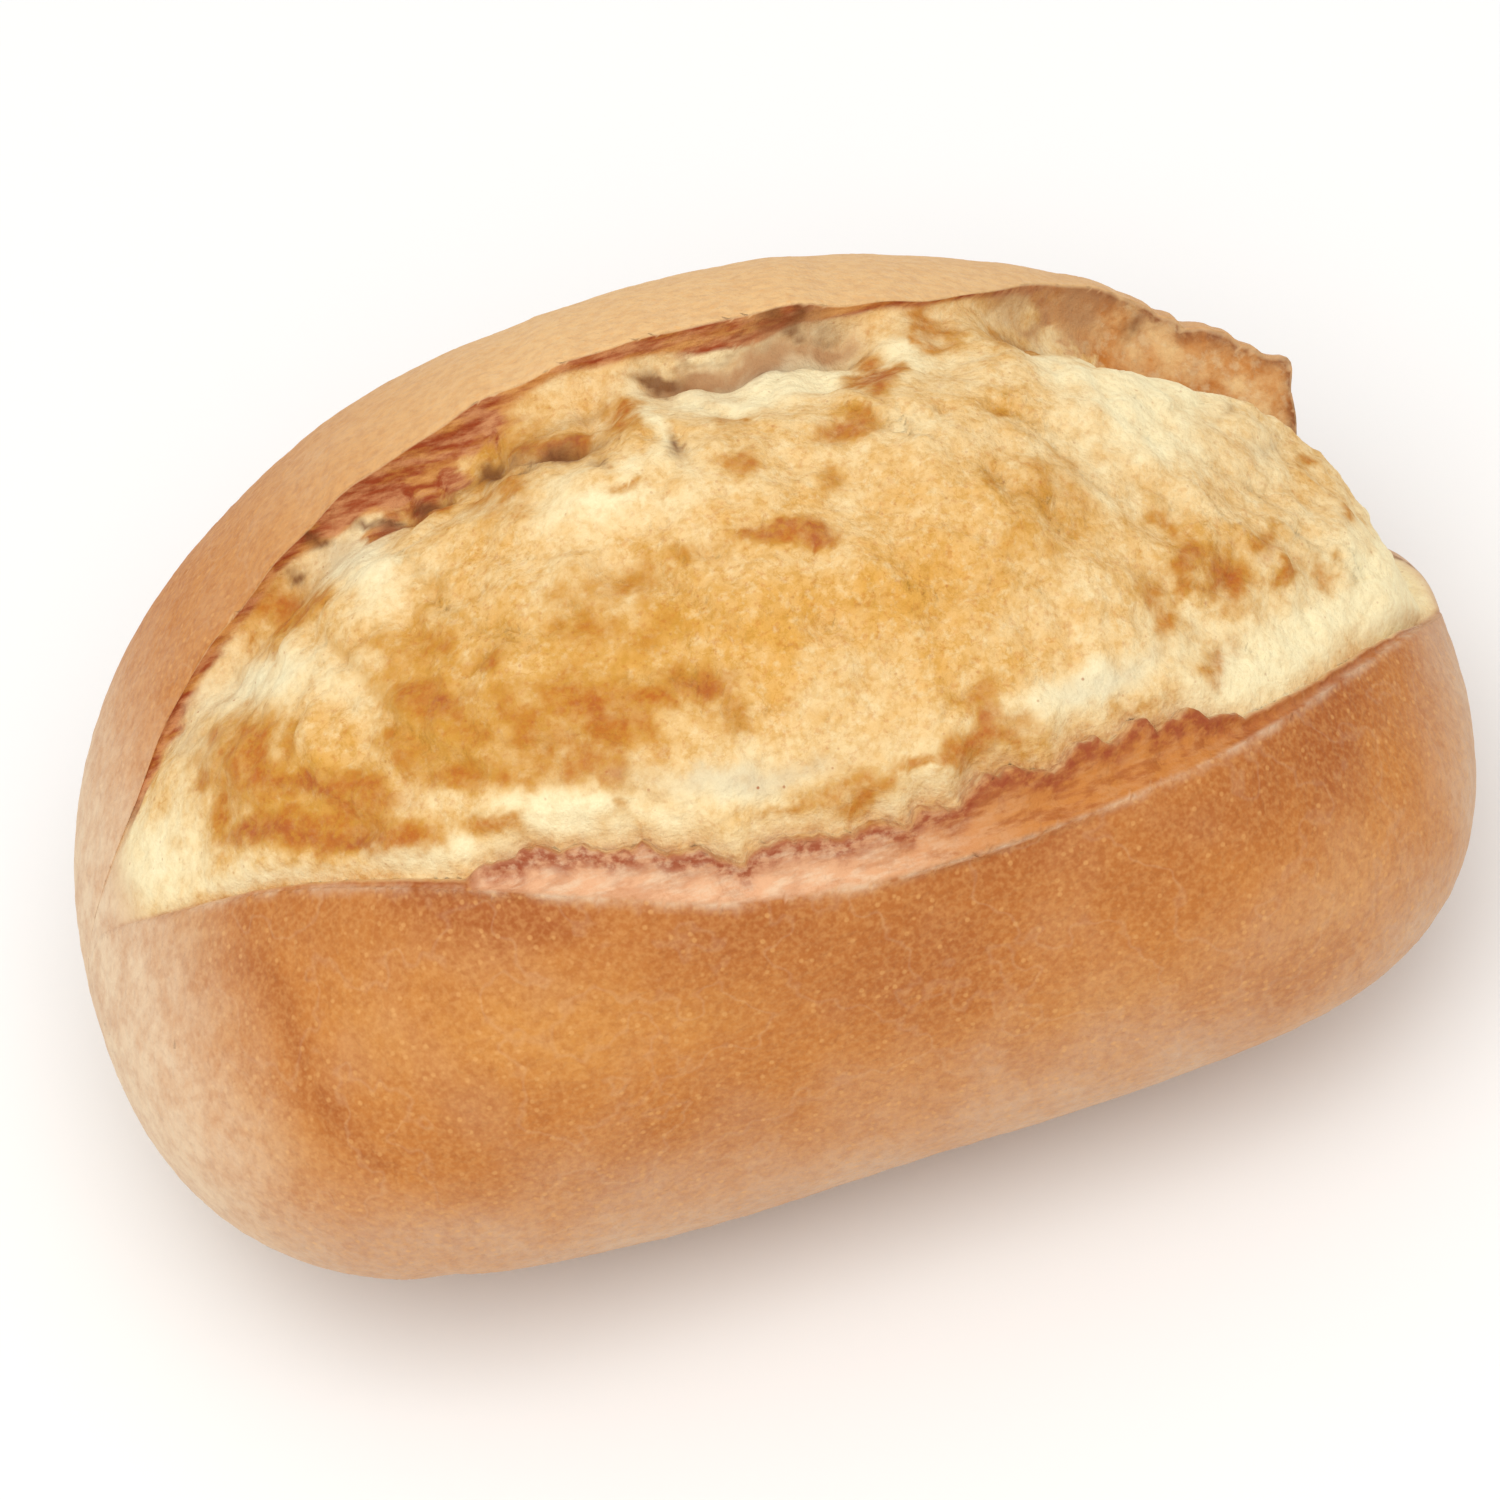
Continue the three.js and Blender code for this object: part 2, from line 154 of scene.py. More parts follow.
# Lightly baked crumb
GOLDEN_PATCHES = (
    (-18, 19, 14, 12, 0.9), (0, 22, 14, 11, 0.95), (16, 22, 13, 11, 0.9), (8, 32, 14, 6, 0.5),
    (28, 20, 7, 9, 0.45), (-36, 9, 9, 8, 0.9), (-14, 44, 8, 6, 0.75), (-6, 42, 6, 7, 0.5),
    (12, 38, 9, 4, 0.35), (42, 16, 7, 8, 0.4), (44, 26, 5, 6, 0.35), (24, 34, 5, 4, 0.4),
    (-34, 29, 4, 5, 0.6), (24, 46, 8, 3, 0.35), (-22, 32, 6, 7, 0.5), (-48, 12, 4, 8, 0.4),
    (-3, 31, 7, 4, 0.4), (-36, 7, 9, 7, 1.0), (-40, 13, 5, 5, 1.0), (-33, 29, 5, 5, 0.8),
    (-22, 14, 10, 7, 0.9),
)
# Palest crumb
PALE = (
    (-16, 7, 7, 1.7, 1.0), (-4, 9, 5, 1.5, 0.7), (24, 9.5, 7, 1.8, 0.9), (42, 5, 8, 3, 1.0),
    (39, 35, 8, 9, 0.9), (32, 31, 3, 6, 0.4), (-40, 1.5, 9, 1.0, 0.8), (-29, 2.8, 4, 1.3, 1.0),
    (9, 47, 7, 4.5, 0.9), (-1.5, 43, 1.2, 7, 0.9), (-8, 34, 4, 1.8, 0.6), (-27, 31, 3, 6, 0.7),
    (-37, 21, 4, 3.5, 0.7), (-50, 5, 4, 5, 0.8), (-27, 3, 3, 1.2, 0.9), (-31, 19, 3, 4, 0.5),
    (53, 6, 5, 8, 0.8), (20, 47, 3, 3, 0.6), (26, 38, 3, 2, 0.4), (-5, 37, 1.5, 1.5, 0.5),
)
# Painted shade: grey patches where the open crumb lies in the shade near the lips and the groove
SHADE_GREY = (
    (-28, 34, 3.5, 4, 0.6), (-40, 21, 5, 3, 0.6), (3, 49, 3, 3, 0.5), (-4, 9.6, 8, 1.1, 0.9),
    (-54, 4, 2.5, 4, 0.5), (-45, 17, 2.5, 4, 0.5), (25, 9.4, 6, 1.3, 0.8), (46, 23, 2, 2, 0.3),
    (8, 51, 6, 1.8, 0.9),
)
# Deeper patches on the crust: x and z in mm, reach along x, reach up, strength
DEEP_CRUST = (
    (-43.5, 38.5, 1.4, 3.2, 1.0), (-41.5, 34.5, 1.5, 2.4, 1.0), (-39, 32.5, 2.4, 1.2, 0.9),
    (-26, 48.5, 8, 2.0, 1.0), (-48, 36, 4, 4, 0.3), (-8, 45, 10, 4, 0.5), (6, 38, 12, 7, 0.75),
    (12, 44, 10, 5, 0.5), (26, 38, 9, 6, 0.5), (44, 37, 6, 4, 0.9), (36, 40, 8, 4, 0.6),
    (-30, 34, 9, 5, 0.35), (-16, 30, 8, 6, 0.35), (34, 24, 7, 5, 0.3),
)
# Lighter patches on the crust
BRIGHT_CRUST = (
    (-24, 41, 10, 4, 0.6), (-50, 39, 2.5, 3.5, 0.7), (-36, 40, 3, 4, 0.4), (-13, 40, 6, 2, 0.45),
    (20, 30, 9, 2, 0.3), (-46, 31, 2.5, 3, 0.4), (40, 30, 5, 3, 0.3),
)
# Small scorched spots on the crumb, given like the patches on the crumb
SCORCHED = (
    (4.6, 28.4, 2.0, 0.7, 0.9), (7.4, 27.6, 1.0, 0.9, 0.9), (-24, 16, 1.5, 1.2, 0.7),
    (-4.2, 17.5, 1.5, 0.7, 0.7), (-12, 15.5, 1.6, 0.9, 0.5), (36.5, 16, 1.1, 1.6, 0.5),
    (38.5, 13, 0.9, 2, 0.4), (-36, 8.5, 2.2, 1.0, 0.7), (-40, 4.8, 3, 0.8, 0.8), (-34, 4, 3, 0.9, 0.6),
    (16.6, 43.5, 0.8, 2.6, 0.7), (13, 37.6, 1.2, 1.0, 0.6), (-9, 44.6, 2.2, 0.8, 0.7),
    (4, 35.6, 1.0, 0.6, 0.5), (36, 6.2, 1.2, 1.0, 0.35), (-20.5, 41, 1.2, 1.6, 0.7), (-30, 8, 2, 1, 0.4),
    (-14.5, 12, 2, 0.8, 0.4), (42.5, 13, 1.2, 0.6, 0.4),
)
# Small holes in the crumb, also pressed into it, with painted shade darkening their bottoms
HOLES = (
    (-9.5, 42.8, 2.5, 1.3, 1.4), (-14.8, 43, 0.9, 1.6, 1.4), (-12.8, 40.5, 0.9, 0.6, 1.1),
    (-7, 39, 0.5, 1.4, 0.8), (-0.5, 39, 0.5, 1.8, 0.9), (0.2, 53, 1.6, 0.7, 1.5),
    (12, 53.2, 3.5, 0.5, 0.9), (5, 53.8, 4, 0.4, 0.6), (-26.5, 38, 0.9, 0.7, 1.3),
    (-24, 38.8, 1.4, 0.7, 1.3), (-20.5, 40.6, 1, 0.7, 1.2), (-29.5, 36.2, 1, 0.6, 1.3),
    (-32.2, 33.5, 0.6, 0.6, 1.2), (34.3, 53, 1.5, 0.9, 1.0), (41.2, 47, 1.4, 0.8, 0.8),
    (44, 28, 0.8, 0.6, 0.3), (47, 23, 1.2, 0.8, 0.3), (31.5, 47.2, 1.2, 0.7, 1.1),
)
HOLE_DEPTH = 0.9
# Pockets in the groove, also pressed into it, with painted shade darkening their floors
POCKETS = (
    (3, 52, 3, 1.2, 1.1), (8, 52, 4, 1.3, 1.1), (13.5, 51.6, 2.8, 1.2, 1.0), (37.3, 50.7, 3.2, 1.6, 1.0),
    (-10.5, 42.5, 3, 1.6, 0.8), (32, 51, 4, 1, 0.6),
)
POCKET_DEPTH = 1.2

# Cracks in the crumb: corners of each as x in mm and mm across the split, with depth and width in mm
CRACKS = (
    (((31, 30), (34, 25), (36.5, 20), (38, 16), (41, 12)), 0.35, 0.35),
    (((-23, 31), (-22, 26), (-19, 22), (-15, 21), (-12, 24)), 0.5, 0.4),
    (((-11, 28), (-6, 27), (-3, 24), (-1, 20)), 0.4, 0.4),
    (((-10, 18), (-7, 18), (-3.5, 18.5), (-2.5, 14)), 0.5, 0.4),
    (((22, 30), (22.5, 26), (25, 24)), 0.35, 0.4),
    (((12, 40), (14, 37), (17, 35), (20, 36)), 0.5, 0.4),
    (((-31, 24), (-29, 18), (-27, 13), (-23, 10)), 0.5, 0.5),
    (((43, 22), (45, 16), (48, 10), (49, 7)), 0.4, 0.4),
    (((24, 36), (26, 34), (30, 31)), 0.35, 0.4),
    (((-4, 30), (-3, 28), (0, 28)), 0.4, 0.35),
    (((4, 20), (10, 21), (15, 19), (21, 20)), 0.25, 0.4),
)

# How far down the wall from the back lip the torn crust reaches at each place, in mm
TORN = (
    (-1, 0.5), (-0.8, 0.9), (-0.6, 1.0), (-0.54, 1.5), (-0.46, 3.6), (-0.36, 4.8), (-0.27, 3.2), (-0.2, 1.3),
    (-0.1, 1.0), (-0.02, 1.6), (0.06, 2.6), (0.18, 2.6), (0.27, 1.3), (0.38, 0.6), (0.5, 0.6), (0.6, 2.5),
    (0.68, 7), (0.75, 10), (0.9, 10), (0.96, 2.5), (1, 0.4),
)

# How far the edges of patches stray: noise of a coarse and of a fine pitch, each with its reach in mm
CRUMB_STRAY = ((4.5, 1.3), (1.4, 0.5))
CRUST_STRAY = ((6.0, 1.5), (1.5, 0.5))

# Where the baking of the crust changes, in mm from the middle or up from the foot: from and to
PALE_LEFT = (42, 57)
PALE_RIGHT = (50, 58)
FRONT_SIDE = (0, 12)
TAN_UP_TO = (9, 37)
GOLDEN_TOP = (16, 48)
GOLDEN_ALONG = (-50, -4)

# How baked the crumb is where no patch lies, and how much patches and noise change it
CRUMB_BAKED = {"plain": 0.43, "golden": 0.5, "pale": 0.72, "broad": 0.25, "grain": 0.2}
# Pebbling of the crust, in mm: its size, its height, and where it fades towards the foot
PEBBLES = {"size": 1.6, "high": 0.18, "foot": 0.2, "full": 1.5}

# How many rings the roll has, and how many points of a ring each stretch takes
RINGS = 340
TERRACE_POINTS = 12
LIP_POINTS = 5
CRUMB_POINTS = 118
WALL_POINTS = 30
CRUST_POINTS = 122
AROUND = TERRACE_POINTS + 1 + LIP_POINTS + CRUMB_POINTS + WALL_POINTS - 1 + CRUST_POINTS

# The photograph's camera: what it looks at, how far away it stands, and how it is turned
LOOK_AT = (0.0, -3.9, 25.0)
CAMERA_AWAY = 600.0
CAMERA_AZIMUTH = -5.5
CAMERA_HEIGHT = 52.0
CAMERA_ROLL = 12.0
CAMERA_LENS = 175.13
CAMERA_SHIFT = (-0.0091, 0.0182)
SENSOR = 36.0

# The soft box and the floor, in metres
SOFT_BOX = {"place": (-0.08, -0.2, 0.55), "target": (0, 0, 0.03), "width": 0.5}
FLOOR_WIDTH = 6.0

# How finely a vertex group's weights are told apart
WEIGHT_LEVELS = 20


def paint(code):
    """The linear colour of a six-figure colour code."""
    parts = [int(code[i:i + 2], 16) / 255 for i in (0, 2, 4)]
    return tuple(p / 12.92 if p <= 0.04045 else ((p + 0.055) / 1.055) ** 2.4 for p in parts)


def colour_choice(name, description, code):
    """A colour that a user can change."""
    return FloatVectorProperty(name=name, description=description, subtype="COLOR", default=paint(code))


class RollShape(bpy.types.PropertyGroup):
    """Sizes of the roll."""

    length: FloatProperty(
        name="Length", description="Length of the plain loaf in mm", default=116.0, unit="NONE",
    )
    width: FloatProperty(
        name="Width", description="Width of the plain loaf in mm", default=78.0, unit="NONE",
    )
    height: FloatProperty(
        name="Height", description="Height of the plain loaf in mm", default=60.0, unit="NONE",
    )
    crag: FloatProperty(
        name="Crags", description="Height of the fine crags on the crumb in mm", default=0.4, unit="NONE",
    )


class RollColours(bpy.types.PropertyGroup):
    """Colours of the crust and the crumb."""

    crust: colour_choice("Crust", "Golden-brown crust", "c27a34")
    crust_deep: colour_choice("Deep crust", "Crust just under the lips", "a3561a")
    # Also painted as a highlight along the ridge of the front lip
    crust_pale: colour_choice("Pale crust", "Crust at the ends and the foot", "e4c8a5")
    crust_tan: colour_choice("Tan crust", "Crust low on the sides", "cfae90")
    crumb: colour_choice("Crumb", "Palest crumb", "faeabc")
    crumb_gold: colour_choice("Golden crumb", "Lightly baked crumb", "dfa650")
    ochre: colour_choice("Ochre crumb", "Fringe of the toasted crumb", "c88f30")
    # Painted shade: the darker brown of the shaded floors of the pockets in the groove
    pocket_shade: colour_choice("Pocket", "Floor of the pockets in the groove", "b28256")
    crust_top: colour_choice("Top crust", "Pale golden crust behind the split", "e9c289")
    # Scorched toasted spots in the crumb's own colour; the same colour is also painted as shade in the pores
    scorch_and_pore_shade: colour_choice("Scorched crumb", "Darkest toasted spots and pores", "a8562a")
    toast: colour_choice("Toast", "Toasted crumb", "b9661f")
    torn: colour_choice("Torn crust", "Torn inner side of the crust", "cb8d5e")
    crust_grain: colour_choice("Crust grain", "Fine light grain of the crust", "e2a864")
    ear_rim: colour_choice("Ear rim", "Dark baked rim of the ear", "7d3f1d")
    terrace: colour_choice("Terrace", "Torn terrace behind the front lip", "e0ab80")
    burnt: colour_choice("Burnt edge", "Thin edges of the torn crust", "9a431c")
    # Grey painted on the crumb as shade where the open crumb lies in the shade
    shade_grey: colour_choice("Grey crumb", "Open crumb in the shade", "d6c8a8")
    # Painted shade: the dark bottoms of the holes and of the groove
    hole_shade: colour_choice("Hole", "Bottoms of holes and pockets", "74431f")


class StageSettings(bpy.types.PropertyGroup):
    """The floor and the light."""

    floor: colour_choice("Floor", "Colour of the floor", "f4f3f1")
    sky: FloatProperty(
        name="Fill light", description="Strength of the even light from all round", default=0.85, min=0,
    )
    lamp: FloatProperty(
        name="Soft box", description="Power of the overhead soft box", default=1.6, unit="POWER", min=0,
    )


def step(value, low, high):
    """0 below low, 1 above high, and a smooth rise between them."""
    t = np.clip((value - low) / (high - low), 0, 1)
    return t * t * (3 - 2 * t)


def blend(low, high, t):
    """The value at a share t of the way from low to high."""
    return low + (high - low) * t


def through(rows, place, column=1):
    """A smooth line through a table: the place is in column 0 of each row, the value in another."""
    places = np.array([row[0] for row in rows], float)
    values = np.array([row[column] for row in rows], float)
    slopes = np.empty(len(rows))
    slopes[1:-1] = (values[2:] - values[:-2]) / (places[2:] - places[:-2])
    slopes[0] = (values[1] - values[0]) / (places[1] - places[0])
    slopes[-1] = (values[-1] - values[-2]) / (places[-1] - places[-2])
    i = np.clip(np.searchsorted(places, place) - 1, 0, len(rows) - 2)
    wide = places[i + 1] - places[i]
    t = np.clip((place - places[i]) / wide, 0, 1)
    u = 1 - t
    start = values[i] * u * u * (1 + 2 * t) + slopes[i] * wide * t * u * u
    end = values[i + 1] * t * t * (3 - 2 * t) - slopes[i + 1] * wide * t * t * u
    return start + end


def lumps(points, pitch, seed):
    """Round lumps of about one pitch across, mostly between -1 and 1: waves in many directions."""
    total = 0
    for k in range(WAVES):
        turn = GOLDEN_ANGLE * (k + WAVES * seed)
        tilt = math.acos(1 - 2 * (k + 0.5) / WAVES)
        beat = WAVE_FIRST + WAVE_FINER * k
        flat = points[..., 0] * math.cos(turn) + points[..., 1] * math.sin(turn)
        along = flat * math.sin(tilt) + points[..., 2] * math.cos(tilt)
        total = total + np.sin(2 * np.pi / pitch * along * beat + WAVE_SHIFT * (k + 1) * (seed + 1))
    return total / math.sqrt(WAVES)


def teeth(x, pitch, seed):
    """Uneven teeth along a line, mostly between -1 and 1."""
    turn = 2 * np.pi * x / pitch
    return sum(np.sin(beat * turn + shift * seed) for beat, shift in TEETH) / math.sqrt(len(TEETH))


def rough(points, pitch, seed, octaves=4):
    """Broken, self-like noise with a largest pitch, mostly between -1 and 1."""
    shift = Vector((seed * 13.7, seed * 7.3, seed * 3.1))
    flat = points.reshape(-1, 3) / pitch
    values = [noise.fractal(Vector(p) + shift, 1.0, 2.0, octaves) for p in flat]
    return np.array(values).reshape(points.shape[:-1])


def stray(points, parts, seed):
    """How far an edge strays from its line, in mm."""
    return sum(reach * rough(points, pitch, seed + k) for k, (pitch, reach) in enumerate(parts))


def section_at(size, share):
    """The plain loaf's section at each share: its centre and its reach each way."""
    end = np.abs(share)

    def fullness(along, power):
        return np.maximum(1 - end ** along, 0) ** power

    side = np.where(share < 0, fullness(SIDE_LEFT, SIDE_POWER), fullness(SIDE_RIGHT, SIDE_POWER))
    droop = np.where(share < 0, DROOP_LEFT, DROOP_RIGHT)
    return {
        "x": size.length / 2 * share,
        "y": BOW * (1 - share * share),
        "half": size.width / 2 * side * (1 + TAPER * share),
        "up": (size.height - WAIST_HEIGHT) * fullness(TOP_ALONG, TOP_POWER) * (1 - droop * share * share),
        "down": (WAIST_HEIGHT + FOOT_CUT) * fullness(UNDER_ALONG, UNDER_POWER),
    }


def loaf_points(size, share, angle):
    """Points of the plain loaf before its foot is cut flat."""
    section = section_at(size, share)
    c = np.cos(angle)
    s = np.sin(angle)
    power = np.where(s > 0, 2 / ROUND_ABOVE, 2 / ROUND_BELOW)
    across = section["half"] * np.sign(c) * np.abs(c) ** power
    high = np.where(s > 0, section["up"], -section["down"]) * np.abs(s) ** power
    x = section["x"] + 0 * across
    return np.stack([x, section["y"] - across, WAIST_HEIGHT + high], -1)


def loaf_normals(size, share, angle):
    """The plain loaf's outward normals."""
    small = 1e-3
    round_way = loaf_points(size, share, angle + small) - loaf_points(size, share, angle - small)
    inside = np.clip(share, -1 + 2 * small, 1 - 2 * small)
    along = loaf_points(size, inside + small, angle) - loaf_points(size, inside - small, angle)
    out = np.cross(along, round_way)
    return out / np.maximum(np.linalg.norm(out, axis=-1, keepdims=True), 1e-12)


def split_table(size, share):
    """For each ring: angles from the front lip past the back lip, the distance walked to each, the width."""
    steps = 100
    past = 15
    start = np.radians(through(FRONT_LIP, share))
    end = np.radians(through(BACK_LIP, share))
    parts = np.arange(steps + past + 1) / steps
    angles = blend(start[:, None], end[:, None], parts)
    points = loaf_points(size, share[:, None], angles)
    gaps = np.linalg.norm(np.diff(points, axis=1), axis=-1)
    walked = np.concatenate([np.zeros((len(share), 1)), np.cumsum(gaps, axis=1)], axis=1)
    return angles, walked, walked[:, steps]


def angles_across(table, distance):
    """The angle at each distance across the split, ring by ring."""
    angles, walked, _ = table
    return np.stack([np.interp(d, w, a) for d, w, a in zip(distance, walked, angles)])


def split_details(share, wide, half_length):
    """What varies along the split: widths across it and heights over the plain loaf, one value a ring."""
    x = half_length * share
    full = step(wide, 0, FULL_SPLIT)
    terrace = through(TERRACE, share)
    flake = np.clip(terrace / 3, 0, 1)
    fallen = step(share, EAR["to"], EAR["to"] + EAR["end"])
    ear = step(share, EAR["from"], EAR["full"]) * (1 - fallen)
    ragged = teeth(x, FRONT["pitch"], 1)
    jag = ear * (EAR["rise"] + EAR["ragged"] * teeth(x, EAR["pitch"], 4))
    fine = sum(part * teeth(x, pitch, seed) for pitch, seed, part in FLAKE_TEETH)
    calm = terrace * (1 + FRONT["uneven"] * flake * ragged)
    jag = jag + ear * EAR_TEETH["rise"] * teeth(x, EAR_TEETH["pitch"], 9)
    back = BACK["rise"] + BACK["ragged"] * teeth(x, BACK["pitch"], 3) - BACK["fallen"] * fallen
    return {
        "full": full,
        "ear": ear,
        "flaky": flake,
        "calm": full * calm,
        "terrace": full * (calm + FLAKE_OUT * flake * fine),
        "ridge": full * FRONT["ridge"],
        "hollow": full * FRONT["hollow"] * flake,
        "flake": full * flake * (FRONT["flake"] + FRONT["ragged"] * ragged + FLAKE_UP * fine),
        "groove": full * through(GROOVE, share, 1),
        "deep": full * (through(GROOVE, share, 2) + PITS["size"] * teeth(x, PITS["pitch"], 2)),
        "undercut": full * BACK["undercut"] * (1 - ear),
        "back": full * back + jag,
    }


def patches(table, x, far):
    """The strength of a table's soft patches at each place on the strip."""
    total = np.zeros(np.broadcast(x, far).shape)
    for along, across, wide, high, strength in table:
        gap = ((x - along) / wide) ** 2 + ((far - across) / high) ** 2
        total = np.maximum(total, strength * np.exp(-gap))
    return total


def crack_gap(corners, x, far):
    """Distance from each place on the strip to a crack's line."""
    nearest = np.full(np.broadcast(x, far).shape, 1e3)
    for (x0, far0), (x1, far1) in zip(corners, corners[1:]):
        along = np.array([x1 - x0, far1 - far0])
        t = np.clip(((x - x0) * along[0] + (far - far0) * along[1]) / (along @ along), 0, 1)
        nearest = np.minimum(nearest, np.hypot(x - x0 - t * along[0], far - far0 - t * along[1]))
    return nearest


def crack_depth(x, far):
    """How deep the cracks go at each place on the strip."""
    wander = 0.5 * teeth(x + 0.7 * far, 3.1, 5)
    total = 0
    for corners, deep, wide in CRACKS:
        gap = np.abs(crack_gap(corners, x, far) + wander) / wide
        total = np.maximum(total, deep * np.exp(-gap * gap))
    return total


def crumb_heights(size, across, details, points, far):
    """Height of the crumb over the plain loaf, at shares of the way from the flake to the groove."""
    dome = CRUMB["rise"] * np.sin(np.pi * np.clip(across, 0, 1)) ** CRUMB["round"]
    foot = -CRUMB["foot"] * (1 - step(across, 0, CRUMB["foot_end"]))
    groove = -details["deep"][:, None] * step(across, CRUMB["fall_start"], 1)
    relief = sum(high * lumps(points, pitch, seed) for high, pitch, seed in LUMPS)
    relief = relief - TEARS["deep"] * np.exp(-np.abs(lumps(points, TEARS["pitch"], 4)) / TEARS["sharp"])
    fine = rough(points, CRAGS["fine"], 1, CRAGS["octaves"])
    broad = np.abs(rough(points, CRAGS["broad"], 2, CRAGS["octaves"]))
    relief = relief + size.crag * (fine + CRAGS["broad_share"] * broad - CRAGS["sunk"])
    x = points[..., 0]
    relief = relief - HOLE_DEPTH * patches(HOLES, x, far) - POCKET_DEPTH * patches(POCKETS, x, far)
    relief = relief - crack_depth(x, far)
    return details["full"][:, None] * (dome + foot + relief * step(across, 0, CRUMB["smooth_end"])) + groove


def slump_depth(share, angle):
    """How deep the loaf has sunk behind the ear's end."""
    off = (angle - math.radians(SLUMP["angle"])) / math.radians(SLUMP["reach"])
    along = step(share, SLUMP["from"], SLUMP["full"]) * (1 - step(share, SLUMP["full"], 1))
    return SLUMP["deep"] * along * np.exp(-off * off)


def split_strip(size, share, table, details):
    """Distances across the split and heights over the loaf, ring by ring, with each point's stretch."""
    wide = table[2]
    t = np.arange(TERRACE_POINTS + 1) / TERRACE_POINTS
    terrace_far = details["terrace"][:, None] * t
    slope = blend(details["ridge"][:, None], details["flake"][:, None], t)
    terrace_high = slope - details["hollow"][:, None] * np.sin(np.pi * t)

    t = np.arange(1, LIP_POINTS + 1) / LIP_POINTS * np.pi / 2
    foot = details["terrace"] + CRUMB["gap"] * details["full"]
    low = -CRUMB["foot"] * details["full"][:, None]
    lip_far = blend(details["terrace"][:, None], foot[:, None], np.sin(t))
    lip_high = blend(low, details["flake"][:, None], np.cos(t))

    t = np.arange(1, CRUMB_POINTS + 1) / CRUMB_POINTS
    across = np.broadcast_to(blend(t, 0.5 - 0.5 * np.cos(np.pi * t), 0.3), (len(share), CRUMB_POINTS))
    edge = wide - details["groove"]
    calm = details["calm"] + CRUMB["gap"] * details["full"]
    teethed = (foot - calm)[:, None] * (1 - step(across, 0, 0.035))
    crumb_far = blend(calm[:, None], edge[:, None], across) + teethed
    base = loaf_points(size, share[:, None], angles_across(table, crumb_far))
    crumb_high = crumb_heights(size, across, details, base, crumb_far)

    t = np.arange(1, WALL_POINTS) / WALL_POINTS
    bulge = details["undercut"][:, None] * np.sin(np.pi * t)
    wall_far = blend(edge[:, None], wide[:, None], t) + bulge
    hollow = HOLLOW_WALL * details["deep"][:, None] * np.sin(np.pi * t)
    wall_high = blend(crumb_high[:, -1:], details["back"][:, None], t) - hollow

    far = np.concatenate([terrace_far, lip_far, crumb_far, wall_far], axis=1)
    high = np.concatenate([terrace_high, lip_high, crumb_high, wall_high], axis=1)
    return far, high


def fold_depth(points):
    """Depth of the shallow curved fold in the front crust near the left end."""
    dx = points[..., 0] - FOLD["x"]
    dz = points[..., 2] - FOLD["z"]
    turn = (np.degrees(np.arctan2(dz, dx)) + 360) % 360
    middle = (FOLD["from"] + FOLD["to"]) / 2
    reach = 1 - step(np.abs(turn - middle), 0, (FOLD["to"] - FOLD["from"]) / 2)
    off = (np.hypot(dx, dz) - FOLD["radius"]) / FOLD["width"]
    return np.where(points[..., 1] > 0, 0, FOLD["deep"] * reach * np.exp(-off * off))


def crust_places():
    """Shares of the way round the crust, closer together near the two lips."""
    t = np.arange(CRUST_POINTS) / CRUST_POINTS
    return blend(t, 0.5 - 0.5 * np.cos(np.pi * t), 0.7)


def crust_angles(share):
    """Angles from the back lip round the underside to just before the front lip."""
    start = np.radians(through(BACK_LIP, share))[:, None]
    end = np.radians(through(FRONT_LIP, share) + 360)[:, None]
    return blend(start, end, crust_places())


def roll_rings(size):
    """All points of the roll, ring by ring, in millimetres, with what the finish needs to know of each."""
    turn = np.arange(1, RINGS + 1) / (RINGS + 1) * 2 - 1
    share = blend(np.sin(np.pi / 2 * turn), turn, 0.12)
    table = split_table(size, share)
    details = split_details(share, table[2], size.length / 2)
    far, high = split_strip(size, share, table, details)
    strip_angle = angles_across(table, far)
    across_ring = share[:, None]
    strip = loaf_points(size, across_ring, strip_angle)
    over = high - slump_depth(across_ring, strip_angle)
    strip = strip + over[..., None] * loaf_normals(size, across_ring, strip_angle)

    angle = crust_angles(share)
    plain = loaf_points(size, across_ring, angle)
    t = crust_places()
    near_back = (1 - step(t, 0, BACK["fade"])) ** 1.5
    near_front = step(t, 0.94, 1)
    wobble = CRUST["wobble"] * details["full"][:, None] * lumps(plain, CRUST["pitch"], 5) * (1 - near_back)
    lip = details["back"][:, None] * near_back + details["ridge"][:, None] * near_front
    sunk = slump_depth(across_ring, angle) + fold_depth(plain)
    crust = plain + (lip + wobble - sunk)[..., None] * loaf_normals(size, across_ring, angle)

    rings = np.concatenate([strip, crust], axis=1)
    rings[..., 2] = np.maximum(rings[..., 2], 0)
    return rings, share, table[2], details, far, high


def centred(rings, size):
    """The rings and the two poles, moved so that the box stands on the origin as the frame's does."""
    poles = np.array([[-size.length / 2, 0, WAIST_HEIGHT], [size.length / 2, 0, WAIST_HEIGHT]])
    every = np.concatenate([rings.reshape(-1, 3), poles])
    middle = (every.min(axis=0) + every.max(axis=0)) / 2
    target = (ROLL_BOX[0] + ROLL_BOX[1]) / 2
    shift = np.array([target[0] - middle[0], target[1] - middle[1], ROLL_BOX[0][2] - every[:, 2].min()])
    return rings + shift, poles + shift


